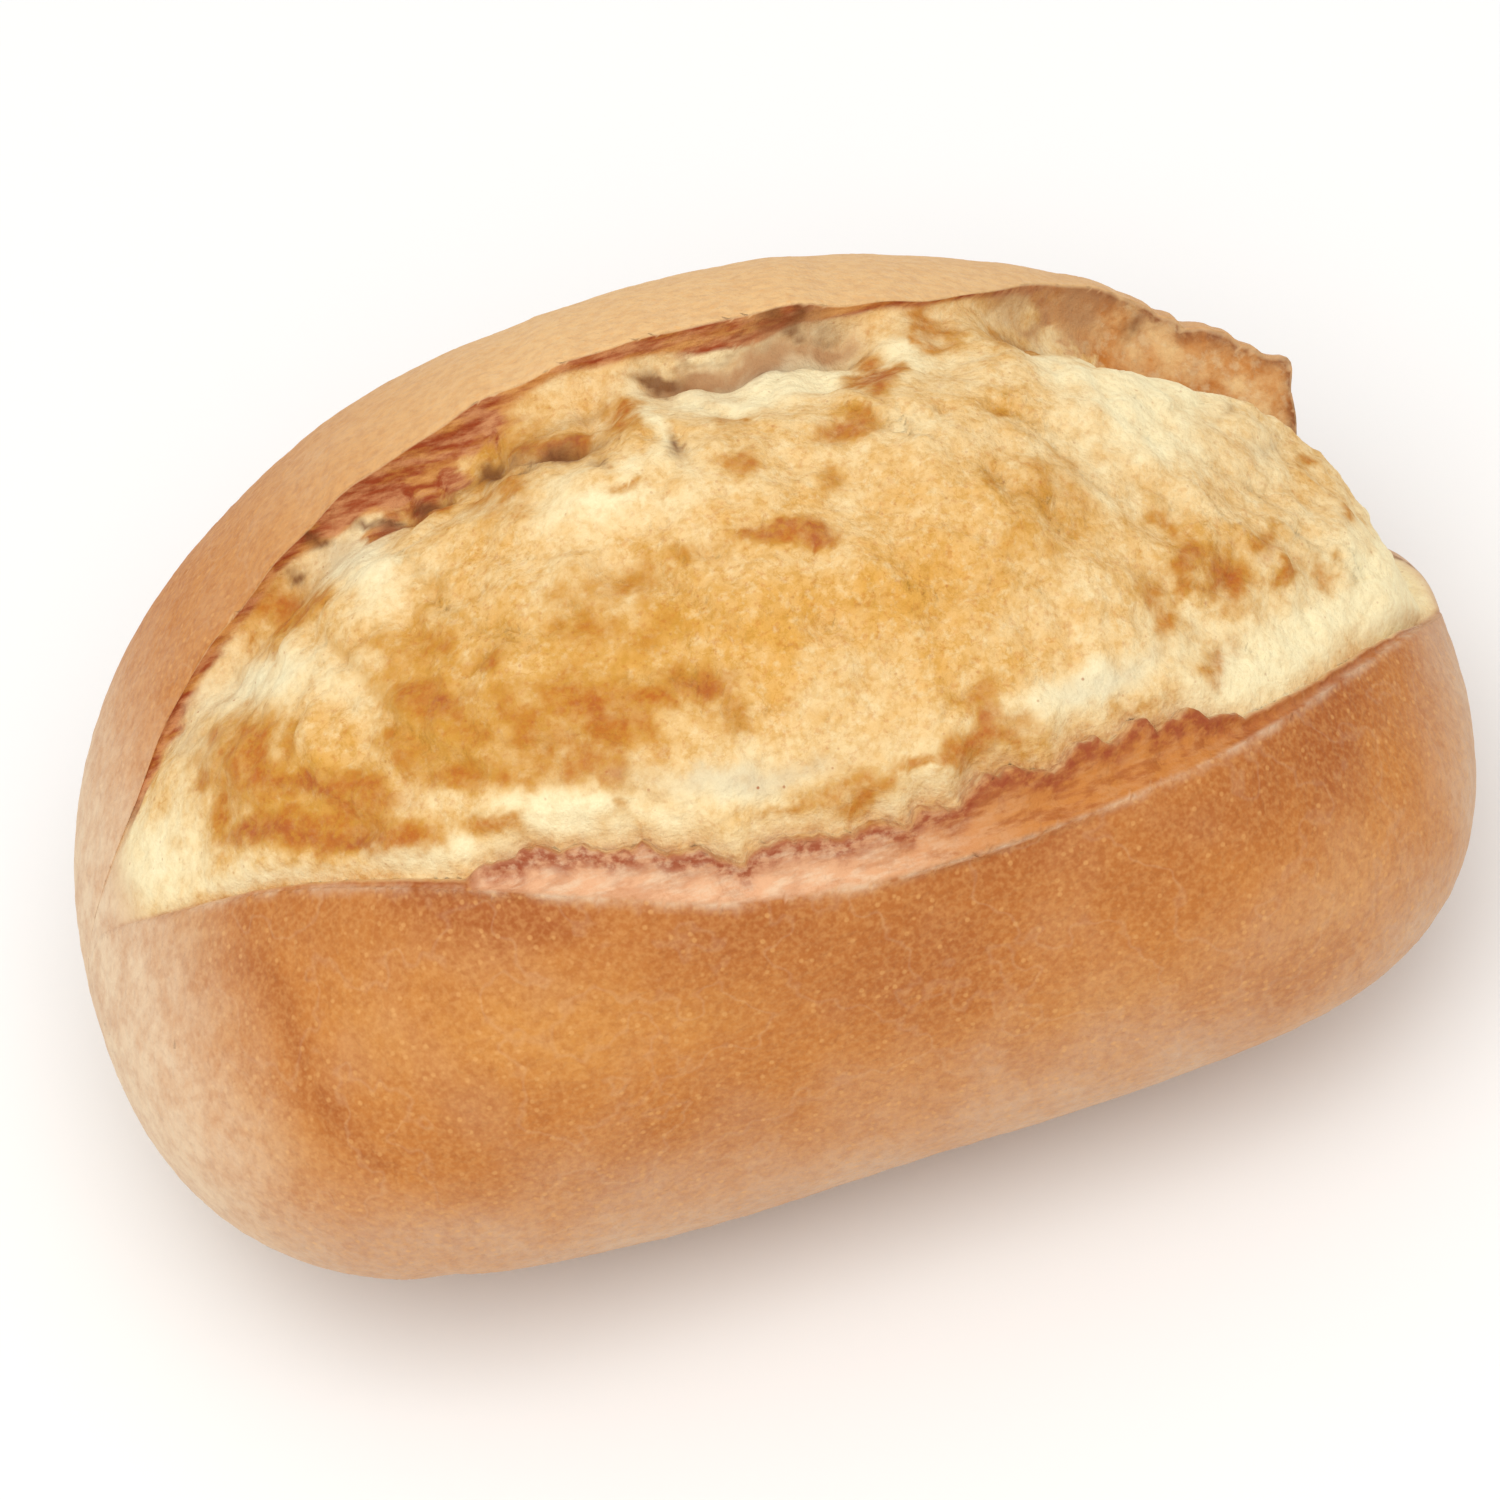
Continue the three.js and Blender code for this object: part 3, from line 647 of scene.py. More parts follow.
def crumb_masks(rings, far):
    """Baking of the crumb at each point of the strip, and where shade is painted in its holes, pockets and
    cracks and grey on its shaded open crumb, with edges broken by noise.
    """
    points = rings[:, :far.shape[1]]
    x = points[..., 0] + stray(points, CRUMB_STRAY, 11)
    across = far + stray(points, CRUMB_STRAY, 13)
    grain = rough(points, 2.2, 15, 3)
    broad = rough(points, 7.0, 16, 4)
    gold = CRUMB_BAKED["plain"] + CRUMB_BAKED["golden"] * patches(GOLDEN_PATCHES, x, across)
    gold = gold - CRUMB_BAKED["pale"] * patches(PALE, x, across)
    gold = gold + CRUMB_BAKED["broad"] * broad + CRUMB_BAKED["grain"] * grain
    toast = patches(TOASTED, x, across) * (1.15 + 0.7 * grain) + 0.12 * step(grain, 0.25, 0.7)
    return {
        "gold": np.clip(gold, 0, 1),
        "toast": np.clip(toast, 0, 1),
        "scorch_and_pore_shade": np.clip(patches(SCORCHED, x, across) * (1.1 + 0.8 * grain), 0, 1),
        "shade_grey": np.clip(patches(SHADE_GREY, x, across) * (1 + 0.5 * grain), 0, 1),
        # Where painted shade darkens the bottoms of the holes
        "hole_shade": np.clip(patches(HOLES, x, across) * (1 + 0.5 * grain), 0, 1),
        # Where painted shade darkens the floors of the pockets
        "pocket_shade": np.clip(patches(POCKETS, x, across) * (1.2 + 0.5 * grain), 0, 1),
        # Where shade is painted along the cracks, as deep as they go
        "crack_shade": np.clip(crack_depth(points[..., 0], far) / 0.6, 0, 1),
    }


def strip_masks(share, wide, details, far, high, grain):
    """Which layer shows at each point of the strip."""
    full = details["full"][:, None]
    terrace = details["terrace"][:, None]
    edge = (wide - details["groove"])[:, None]
    torn = through(TORN, share)[:, None]
    down = np.hypot(wide[:, None] - far, details["back"][:, None] - high)
    down = down * (1 + 0.5 * grain)
    past = far > edge - 1.5
    flaky = details["flaky"][:, None]
    on_terrace = step(far, 0, 0.4) * (1 - step(far, terrace - 0.2, terrace + 0.3))
    wall = np.where(past, 1 - step(down, torn - 0.3, torn + 0.5), 0) * step(full, 0.05, 0.4)
    return {
        "crumb": step(far, terrace - 0.1, terrace + 0.5) * step(full, 0.02, 0.25),
        "terrace": on_terrace * step(terrace, 0.6, 1.8),
        "edge": np.exp(-((far - terrace + 0.5) / 1.1) ** 2) * flaky,
        "wall": wall,
        "rim": np.where(past, np.exp(-(down / 1.0) ** 2), 0) * step(share, 0.55, 0.75)[:, None],
        "ear": wall * step(share, 0.5, 0.68)[:, None],
        "warm": np.broadcast_to(step(share, -0.05, 0.35)[:, None], far.shape),
        # Painted shade along the bottom of the deep groove, where the crumb meets its wall
        "groove_shade": np.exp(-((far - edge) / 0.8) ** 2) * step(details["deep"][:, None], 1.6, 3.6),
    }


def crust_masks(rings, crust):
    """Baking of the crust at each point of the rings."""
    x = rings[..., 0]
    z = rings[..., 2]
    left = step(-x, *PALE_LEFT)
    right = step(x, *PALE_RIGHT)
    front = step(-rings[..., 1], *FRONT_SIDE)
    moved_x = x + stray(rings, CRUST_STRAY, 31)
    moved_z = z + stray(rings, CRUST_STRAY, 33)
    deep = patches(DEEP_CRUST, moved_x, moved_z) * front
    bright = patches(BRIGHT_CRUST, moved_x, moved_z) * front
    top = step(z + 2.5 * rough(rings, 9.0, 37), *GOLDEN_TOP) * (1 - front) * step(x, *GOLDEN_ALONG)
    return {
        "deep": np.clip(deep + 0.2 * rough(rings, 9.0, 35), 0, 1),
        "bright": np.clip(bright, 0, 1),
        "top": np.clip(top, 0, 1),
        "tan": np.clip(1 - step(z, *TAN_UP_TO) + 0.25 * rough(rings, 8.0, 36) + 0.5 * right, 0, 1),
        "pale": np.clip(left + 0.25 * right, 0, 1),
        "crust": np.broadcast_to(crust, x.shape).astype(float),
    }


def lip_gaps(rings, strip):
    """Distance round the ring from each crust point to the front lip."""
    crust = rings[:, strip - 1:]
    closed = np.concatenate([crust, rings[:, :1]], axis=1)
    gaps = np.linalg.norm(np.diff(closed, axis=1), axis=-1)
    return np.cumsum(gaps[:, ::-1], axis=1)[:, ::-1][:, 1:]


def finish_masks(share, wide, details, far, high, rings):
    """Where each finish shows: one value from 0 to 1 for each point of each ring."""
    strip = far.shape[1]
    column = np.arange(rings.shape[1])[None, :]
    masks = crust_masks(rings, column >= strip)
    drawn = rings[:, :strip] * np.array([0.3, 1.0, 1.0])
    layers = strip_masks(share, wide, details, far, high, rough(drawn, 2.0, 21))
    for name, values in (crumb_masks(rings, far) | layers).items():
        masks[name] = np.zeros(rings.shape[:2])
        masks[name][:, :strip] = values
    gap = np.concatenate([far, lip_gaps(rings, strip)], axis=1)
    # The ridge mask is where a highlight is painted along the front lip's ridge
    masks["ridge"] = np.exp(-(gap / 0.45) ** 2) * step(details["full"], 0.1, 0.6)[:, None]
    masks["under"] = np.exp(-(gap / 7.0) ** 2)
    return masks


def only(piece):
    """Makes a piece the one that is selected and active."""
    bpy.ops.object.select_all(action="DESELECT")
    piece.select_set(True)
    bpy.context.view_layer.objects.active = piece


def add_ball(name, segments, rings):
    """A ball at the origin with its poles laid along X."""
    bpy.ops.object.select_all(action="DESELECT")
    bpy.ops.mesh.primitive_uv_sphere_add(segments=segments, ring_count=rings, radius=1, location=(0, 0, 0))
    piece = bpy.context.active_object
    piece.name = name
    piece.data.name = name
    bpy.ops.object.mode_set(mode="EDIT")
    bpy.ops.mesh.select_all(action="SELECT")
    bpy.ops.transform.rotate(value=math.radians(90), orient_axis="Y", center_override=(0, 0, 0))
    bpy.ops.mesh.normals_make_consistent(inside=False)
    bpy.ops.object.mode_set(mode="OBJECT")
    return piece


def ball_places(piece, around, rings):
    """For each point of the ball: its ring from the left, its place round it, and which pole it is."""
    count = len(piece.data.vertices)
    co = np.empty(count * 3)
    piece.data.vertices.foreach_get("co", co)
    co = co.reshape(-1, 3)
    ring = np.rint(np.arccos(np.clip(-co[:, 0], -1, 1)) / np.pi * (rings + 1)).astype(int) - 1
    turn = np.arctan2(co[:, 2], -co[:, 1])
    place = np.rint(turn / (2 * np.pi) * around).astype(int) % around
    left = co[:, 0] < -0.999999
    right = co[:, 0] > 0.999999
    return ring, place, left, right


def move_points(piece, rings, poles):
    """Moves the ball's points to the rings and returns each point's index into the flattened rings."""
    ring, place, left, right = ball_places(piece, AROUND, RINGS)
    if left.sum() != 1 or right.sum() != 1:
        raise RuntimeError("the ball has no clear poles")
    index = np.clip(ring, 0, RINGS - 1) * AROUND + place
    co = rings.reshape(-1, 3)[index]
    co[left] = poles[0]
    co[right] = poles[1]
    piece.data.vertices.foreach_set("co", (co * MM).astype(np.float32).ravel())
    piece.data.update()
    return index


def store_masks(piece, masks, index):
    """Keeps each mask on the mesh as an attribute of its points."""
    for name, values in masks.items():
        layer = piece.data.attributes.new(name, "FLOAT", "POINT")
        layer.data.foreach_set("value", values.reshape(-1)[index].astype(np.float32))


def add_group(piece, name, values):
    """A vertex group with one weight a point, rounded to a few levels."""
    group = piece.vertex_groups.new(name=name)
    levels = np.rint(np.clip(values, 0, 1) * WEIGHT_LEVELS).astype(int)
    for level in range(1, WEIGHT_LEVELS + 1):
        members = np.nonzero(levels == level)[0].tolist()
        if members:
            group.add(members, level / WEIGHT_LEVELS, "REPLACE")
    return group


def displace(piece, name, kind, scale, strength, group):
    """Presses a procedural texture into the mesh where a vertex group says, and applies it."""
    texture = bpy.data.textures.new(name, kind)
    texture.noise_scale = scale * MM
    only(piece)
    modifier = piece.modifiers.new(name, "DISPLACE")
    modifier.texture = texture
    modifier.texture_coords = "LOCAL"
    modifier.strength = strength * MM
    modifier.mid_level = 0.5
    modifier.vertex_group = group
    bpy.ops.object.modifier_apply(modifier=name)


class Board:
    """A node tree with short calls for the nodes that the finishes here use."""

    def __init__(self, tree):
        self.tree = tree

    def add(self, kind, **settings):
        """A new node with its settings."""
        node = self.tree.nodes.new(kind)
        for key, value in settings.items():
            setattr(node, key, value)
        return node

    def feed(self, socket, value):
        """Links an output to a socket, or sets the socket's own value."""
        if isinstance(value, bpy.types.NodeSocket):
            self.tree.links.new(value, socket)
        else:
            socket.default_value = value

    def sum(self, operation, first, second=0.0, clamp=False):
        """One step of arithmetic."""
        node = self.add("ShaderNodeMath", operation=operation, use_clamp=clamp)
        self.feed(node.inputs[0], first)
        self.feed(node.inputs[1], second)
        return node.outputs[0]

    def span(self, value, low, high, to_low=0.0, to_high=1.0):
        """A value eased from one range into another."""
        node = self.add("ShaderNodeMapRange", interpolation_type="SMOOTHSTEP")
        names = ("Value", "From Min", "From Max", "To Min", "To Max")
        for name, given in zip(names, (value, low, high, to_low, to_high)):
            self.feed(node.inputs[name], given)
        return node.outputs["Result"]

    def mix(self, mask, under, over):
        """A colour over another where a mask shows."""
        node = self.add("ShaderNodeMix", data_type="RGBA", clamp_factor=True)
        self.feed(node.inputs["Factor"], mask)
        sockets = [socket for socket in node.inputs if socket.type == "RGBA"]
        for socket, colour in zip(sockets, (under, over)):
            self.feed(socket, (*colour, 1.0) if isinstance(colour, Color) else colour)
        return next(socket for socket in node.outputs if socket.type == "RGBA")

    def lay(self, under, over, mask, strength):
        """A colour over another where a mask shows, at a strength from 0 to 1 or one that varies."""
        return self.mix(self.sum("MULTIPLY", mask, strength), under, over)

    def line(self, value, slope, base):
        """A value times a slope, plus a base."""
        return self.sum("ADD", self.sum("MULTIPLY", value, slope), base)

    def attribute(self, name):
        """A mask that is kept on the mesh."""
        node = self.add("ShaderNodeAttribute", attribute_name=name, attribute_type="GEOMETRY")
        return node.outputs["Fac"]

    def group(self, tree, **values):
        """A node group's result for the given inputs."""
        node = self.add("ShaderNodeGroup", node_tree=tree)
        for key, value in values.items():
            self.feed(node.inputs[key], value)
        return node.outputs[0]


def new_group(name, inputs, output):
    """An empty shader node group with named float sockets and a vector, and its board."""
    tree = bpy.data.node_groups.new(name, "ShaderNodeTree")
    tree.interface.new_socket("Vector", in_out="INPUT", socket_type="NodeSocketVector")
    for key, value in inputs.items():
        socket = tree.interface.new_socket(key, in_out="INPUT", socket_type="NodeSocketFloat")
        socket.default_value = value
    tree.interface.new_socket(output, in_out="OUTPUT", socket_type="NodeSocketFloat")
    board = Board(tree)
    return board, board.add("NodeGroupInput"), board.add("NodeGroupOutput")


def scaled(board, vector, pitch):
    """A place counted in pitches."""
    node = board.add("ShaderNodeVectorMath", operation="SCALE")
    board.feed(node.inputs[0], vector)
    board.feed(node.inputs["Scale"], board.sum("DIVIDE", 1.0, pitch))
    return node.outputs[0]


def mottle_group():
    """Soft uneven patches: a mask of broken noise between two levels."""
    board, start, end = new_group("mottle", {"Pitch": 5.0, "Detail": 3.0, "Low": 0.4, "High": 0.6}, "Mask")
    cloud = board.add("ShaderNodeTexNoise")
    cloud.inputs["Scale"].default_value = 1.0
    cloud.inputs["Roughness"].default_value = 0.6
    board.feed(cloud.inputs["Vector"], scaled(board, start.outputs["Vector"], start.outputs["Pitch"]))
    board.feed(cloud.inputs["Detail"], start.outputs["Detail"])
    mask = board.span(cloud.outputs["Fac"], start.outputs["Low"], start.outputs["High"])
    board.feed(end.inputs["Mask"], mask)
    return board.tree


def speckle_group():
    """Scattered round dots: a mask with one dot in some of the cells of a pitch."""
    board, start, end = new_group("speckle", {"Pitch": 2.0, "Radius": 0.25, "Share": 0.5}, "Mask")
    cells = board.add("ShaderNodeTexVoronoi", feature="F1")
    cells.inputs["Scale"].default_value = 1.0
    board.feed(cells.inputs["Vector"], scaled(board, start.outputs["Vector"], start.outputs["Pitch"]))
    inner = board.sum("MULTIPLY", start.outputs["Radius"], 0.4)
    dot = board.span(cells.outputs["Distance"], start.outputs["Radius"], inner)
    split = board.add("ShaderNodeSeparateColor")
    board.feed(split.inputs[0], cells.outputs["Color"])
    chosen = board.sum("LESS_THAN", split.outputs[0], start.outputs["Share"])
    board.feed(end.inputs["Mask"], board.sum("MULTIPLY", dot, chosen))
    return board.tree


def crease_group():
    """Thin wandering lines: a mask where noise crosses its middle level."""
    board, start, end = new_group("crease", {"Pitch": 8.0, "Width": 0.03, "Detail": 3.0}, "Mask")
    cloud = board.add("ShaderNodeTexNoise")
    cloud.inputs["Scale"].default_value = 1.0
    cloud.inputs["Roughness"].default_value = 0.55
    board.feed(cloud.inputs["Vector"], scaled(board, start.outputs["Vector"], start.outputs["Pitch"]))
    board.feed(cloud.inputs["Detail"], start.outputs["Detail"])
    off = board.sum("ABSOLUTE", board.sum("SUBTRACT", cloud.outputs["Fac"], 0.5))
    board.feed(end.inputs["Mask"], board.span(off, start.outputs["Width"], 0.0))
    return board.tree


def place_in_mm(board):
    """Object coordinates in millimetres."""
    coordinates = board.add("ShaderNodeTexCoord")
    node = board.add("ShaderNodeVectorMath", operation="SCALE")
    board.feed(node.inputs[0], coordinates.outputs["Object"])
    node.inputs["Scale"].default_value = 1 / MM
    return node.outputs[0]


def stretched(board, place, factors):
    """A place stretched along the axes."""
    node = board.add("ShaderNodeVectorMath", operation="MULTIPLY")
    board.feed(node.inputs[0], place)
    node.inputs[1].default_value = factors
    return node.outputs[0]


def crust_colour(board, place, tools, colours):
    """Golden-brown crust: deeper under the lips, tan low down, pale at the ends, with fine sandy grain."""
    mottle = tools["mottle"]
    tan, top, pale = (board.attribute(name) for name in ("tan", "top", "pale"))
    colour = board.mix(tan, colours.crust, colours.crust_tan)
    under = board.sum("MULTIPLY", board.attribute("under"), 0.35)
    deep = board.sum("ADD", board.sum("MULTIPLY", board.attribute("deep"), 0.8), under)
    broad = board.group(mottle, Vector=place, Pitch=5.0, Detail=5.0, Low=0.38, High=0.64)
    deep = board.sum("ADD", deep, board.sum("MULTIPLY", broad, 0.12), clamp=True)
    colour = board.mix(deep, colour, colours.crust_deep)
    colour = board.lay(colour, colours.crumb_gold, board.attribute("bright"), 0.42)
    colour = board.lay(colour, colours.crust_top, top, 0.85)
    patchy = board.group(mottle, Vector=place, Pitch=3.0, Detail=5.0, Low=0.3, High=0.7)
    faded = board.sum("MULTIPLY", board.line(patchy, 0.5, 0.6), pale, clamp=True)
    colour = board.mix(faded, colour, colours.crust_pale)
    dark = board.group(mottle, Vector=place, Pitch=1.1, Detail=4.0, Low=0.38, High=0.68)
    lightest = board.sum("MAXIMUM", board.sum("MAXIMUM", pale, top), tan)
    colour = board.lay(colour, colours.crust_deep, dark, board.span(lightest, 0.0, 1.0, 0.34, 0.2))
    grain = board.mix(pale, colours.crust_grain, colours.crust_pale)
    sand = board.group(mottle, Vector=place, Pitch=0.5, Detail=1.0, Low=0.3, High=0.8)
    colour = board.lay(colour, grain, sand, 0.3)
    lines = board.group(tools["crease"], Vector=place, Pitch=9.0, Width=0.02, Detail=3.0)
    colour = board.lay(colour, colours.crust_pale, lines, 0.08)
    dots = board.group(tools["speckle"], Vector=place, Pitch=0.85, Radius=0.34, Share=0.4)
    return board.lay(colour, grain, dots, 0.38)


def ear_colour(board, place, tools, colours):
    """The inner face of the ear: pale gold with softly mottled browner patches."""
    mottle = tools["mottle"]
    patchy = board.group(mottle, Vector=place, Pitch=4.5, Detail=4.0, Low=0.34, High=0.66)
    colour = board.mix(patchy, colours.crust_top, colours.crust)
    stain = board.group(mottle, Vector=place, Pitch=2.6, Detail=4.0, Low=0.42, High=0.7)
    colour = board.lay(colour, colours.crust_deep, stain, 0.35)
    light = board.group(mottle, Vector=place, Pitch=1.3, Detail=6.0, Low=0.5, High=0.66)
    return board.lay(colour, colours.crumb, light, 0.25)


def torn_colour(board, place, tools, colours):
    """The torn inner side of the crust: reddish layers drawn out along the roll, golden on the ear."""
    mottle = tools["mottle"]
    drawn = stretched(board, place, (0.25, 1.0, 1.0))
    layers = board.group(mottle, Vector=drawn, Pitch=1.0, Detail=6.0, Low=0.36, High=0.62)
    colour = board.mix(layers, colours.torn, colours.burnt)
    pale = board.group(mottle, Vector=drawn, Pitch=1.5, Detail=5.0, Low=0.46, High=0.64)
    colour = board.lay(colour, colours.crumb_gold, pale, 0.45)
    return board.mix(board.attribute("ear"), colour, ear_colour(board, place, tools, colours))


def terrace_colour(board, place, tools, colours):
    """The terrace behind the front lip: tan with pale streaks and fine brown stains, browner at the right."""
    mottle = tools["mottle"]
    warm = board.attribute("warm")
    drawn = stretched(board, place, (0.35, 1.0, 1.0))
    colour = board.mix(warm, colours.terrace, colours.crust)
    streaks = board.group(mottle, Vector=drawn, Pitch=0.8, Detail=6.0, Low=0.42, High=0.66)
    colour = board.lay(colour, colours.crust_pale, streaks, board.span(warm, 0.0, 1.0, 0.6, 0.1))
    stain = board.group(mottle, Vector=drawn, Pitch=1.1, Detail=6.0, Low=0.46, High=0.64)
    return board.lay(colour, colours.crust_deep, stain, board.span(warm, 0.0, 1.0, 0.3, 0.75))


def crumb_colour(board, place, tools, colours):
    """Cream crumb, gold where it was baked a little, toasted with an ochre fringe, sandy all over, with
    painted shade in its creases, cracks, pores and shaded open crumb.
    """
    mottle = tools["mottle"]
    gold, toast, shade_grey = (board.attribute(name) for name in ("gold", "toast", "shade_grey"))
    colour = board.mix(gold, colours.crumb, colours.crumb_gold)
    cloud = board.group(mottle, Vector=place, Pitch=2.2, Detail=6.0, Low=0.42, High=0.66)
    colour = board.lay(colour, colours.crumb_gold, cloud, board.span(gold, 0.0, 1.0, 0.1, 0.4))
    # Painted shade: thin ochre lines as the shade of fine creases in the golden crumb
    lines = board.group(tools["crease"], Vector=place, Pitch=3.2, Width=0.014, Detail=4.0)
    colour = board.lay(colour, colours.ochre, lines, board.span(gold, 0.2, 0.9, 0.0, 0.45))
    blotch = board.group(mottle, Vector=place, Pitch=2.0, Detail=6.0, Low=0.36, High=0.64)
    fringe = board.span(toast, 0.0, 0.55, 0.0, 0.95)
    colour = board.lay(colour, colours.ochre, fringe, board.line(blotch, 0.5, 0.5))
    core = board.span(toast, 0.12, 0.9)
    colour = board.lay(colour, colours.toast, core, board.line(blotch, 0.6, 0.4))
    colour = board.lay(colour, colours.scorch_and_pore_shade, board.attribute("scorch_and_pore_shade"), board.line(blotch, 0.5, 0.5))
    sand = board.group(mottle, Vector=place, Pitch=0.75, Detail=3.0, Low=0.42, High=0.68)
    colour = board.lay(colour, colours.ochre, sand, board.span(gold, 0.0, 1.0, 0.14, 0.55))
    dark = board.group(mottle, Vector=place, Pitch=0.6, Detail=3.0, Low=0.52, High=0.7)
    colour = board.lay(colour, colours.toast, dark, board.span(gold, 0.0, 1.0, 0.1, 0.34))
    bright = board.group(mottle, Vector=place, Pitch=0.85, Detail=3.0, Low=0.5, High=0.72)
    colour = board.lay(colour, colours.crumb, bright, board.span(toast, 0.0, 0.6, 0.28, 0.05))
    # Painted shade: ochre laid along the cracks
    colour = board.lay(colour, colours.ochre, board.attribute("crack_shade"), 0.5)
    # Painted shade: grey laid over the crumb where the open crumb lies in the shade
    colour = board.lay(colour, colours.shade_grey, shade_grey, 0.6)
    # Painted shade: dark dots for the pores, stronger where the open crumb is in shade
    pore_shade = board.group(tools["speckle"], Vector=place, Pitch=1.0, Radius=0.17, Share=0.35)
    return board.lay(colour, colours.scorch_and_pore_shade, pore_shade, board.line(shade_grey, 0.5, 0.3))


def grain_height(board, place, tools):
    """Height of the grain: pebbled on the crust, craggy and open on the crumb."""
    pebbles = board.group(tools["mottle"], Vector=place, Pitch=0.8, Detail=2.0, Low=0.2, High=0.8)
    crags = board.group(tools["mottle"], Vector=place, Pitch=1.1, Detail=6.0, Low=0.2, High=0.8)
    node = board.add("ShaderNodeMix", data_type="FLOAT")
    board.feed(node.inputs[0], board.attribute("crumb"))
    board.feed(node.inputs[2], board.sum("MULTIPLY", pebbles, 0.5))
    board.feed(node.inputs[3], crags)
    return node.outputs[0]


def bread_colour(board, place, tools, colours):
    """The colours of crust, lip, terrace, crumb and torn wall, each where its mask says, with a painted
    highlight along the front lip and painted shade in the pockets, the holes and the groove's bottom.
    """
    mottle = tools["mottle"]
    colour = crust_colour(board, place, tools, colours)
    # Painted highlight: a broken pale line along the ridge of the front lip
    ridge_highlight_breakup = board.group(mottle, Vector=place, Pitch=3.0, Detail=4.0, Low=0.3, High=0.7)
    colour = board.lay(colour, colours.crust_pale, board.attribute("ridge"), board.sum("MULTIPLY", ridge_highlight_breakup, 0.7))
    colour = board.mix(board.attribute("terrace"), colour, terrace_colour(board, place, tools, colours))
    colour = board.mix(board.attribute("crumb"), colour, crumb_colour(board, place, tools, colours))
    colour = board.mix(board.attribute("wall"), colour, torn_colour(board, place, tools, colours))
    # Painted shade: the pockets' floors darkened to the shaded pocket colour
    colour = board.lay(colour, colours.pocket_shade, board.attribute("pocket_shade"), 0.9)
    # Painted shade: the bottoms of the holes darkened
    colour = board.lay(colour, colours.hole_shade, board.attribute("hole_shade"), 0.85)
    ragged = board.group(mottle, Vector=place, Pitch=1.0, Detail=6.0, Low=0.36, High=0.62)
    colour = board.lay(colour, colours.burnt, board.attribute("edge"), board.line(ragged, 0.75, 0.2))
    colour = board.lay(colour, colours.ear_rim, board.attribute("rim"), board.line(ragged, 0.5, 0.5))
    # Painted shade: the bottom of the deep groove darkened with the hole colour
    return board.lay(colour, colours.hole_shade, board.attribute("groove_shade"), 0.35)


def bread_finish(colours):
    """The one material of the roll: each finish shows where its mask says."""
    tools = {"mottle": mottle_group(), "speckle": speckle_group(), "crease": crease_group()}
    material = bpy.data.materials.new("baked_bread")
    material.use_nodes = True
    tree = material.node_tree
    shader = next(node for node in tree.nodes if node.type == "BSDF_PRINCIPLED")
    board = Board(tree)
    place = place_in_mm(board)
    board.feed(shader.inputs["Base Color"], bread_colour(board, place, tools, colours))
    board.feed(shader.inputs["Roughness"], board.span(board.attribute("crumb"), 0.0, 1.0, 0.62, 0.9))
    bump = board.add("ShaderNodeBump")
    bump.inputs["Strength"].default_value = 0.6
    bump.inputs["Distance"].default_value = 0.35 * MM
    board.feed(bump.inputs["Height"], grain_height(board, place, tools))
    board.feed(shader.inputs["Normal"], bump.outputs["Normal"])
    shader.inputs["Specular IOR Level"].default_value = 0.3
    shader.inputs["Subsurface Weight"].default_value = 0.0
    return material


def make_roll(scene):
    """The roll: ball, loft, grain, masks and finish."""
    size = scene.roll_shape
    rings, share, wide, details, far, high = roll_rings(size)
    rings, poles = centred(rings, size)
    masks = finish_masks(share, wide, details, far, high, rings)
    piece = add_ball("bread_roll", AROUND, RINGS + 1)
    index = move_points(piece, rings, poles)
    store_masks(piece, masks, index)
    grain = masks["crust"] * step(rings[..., 2], PEBBLES["foot"], PEBBLES["full"])
    add_group(piece, "crust_grain", grain.reshape(-1)[index])
    displace(piece, "pebbles", "CLOUDS", PEBBLES["size"], PEBBLES["high"], "crust_grain")
    only(piece)
    bpy.ops.object.shade_smooth()
    piece.data.materials.clear()
    piece.data.materials.append(bread_finish(scene.roll_colours))
    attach(piece, BODY)
    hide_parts(NODE)
    return piece


def plain_finish(name, colour):
    """A plain matt finish for the floor."""
    material = bpy.data.materials.new(name)
    material.use_nodes = True
    shader = next(node for node in material.node_tree.nodes if node.type == "BSDF_PRINCIPLED")
    shader.inputs["Base Color"].default_value = (*colour, 1.0)
    shader.inputs["Roughness"].default_value = 0.8
    return material


def add_floor(settings):
    """A wide plain floor under the roll."""
    bpy.ops.object.select_all(action="DESELECT")
    bpy.ops.mesh.primitive_plane_add(size=FLOOR_WIDTH, location=(0, 0, 0))
    floor = bpy.context.active_object
    floor.name = "floor"
    floor.data.materials.append(plain_finish("floor_finish", settings.floor))


def add_lamp(power):
    """A square soft box that looks at the roll."""
    bpy.ops.object.light_add(type="AREA", location=SOFT_BOX["place"])
    lamp = bpy.context.active_object
    lamp.name = "soft_box"
    lamp.data.size = SOFT_BOX["width"]
    lamp.data.energy = power
    way = Vector(SOFT_BOX["target"]) - Vector(SOFT_BOX["place"])
    lamp.rotation_euler = way.to_track_quat("-Z", "Y").to_euler()


def add_sky(strength):
    """Even light from all round."""
    world = bpy.data.worlds.new("even_light")
    bpy.context.scene.world = world
    world.use_nodes = True
    background = next(node for node in world.node_tree.nodes if node.type == "BACKGROUND")
    background.inputs["Color"].default_value = (1.0, 1.0, 1.0, 1.0)
    background.inputs["Strength"].default_value = strength


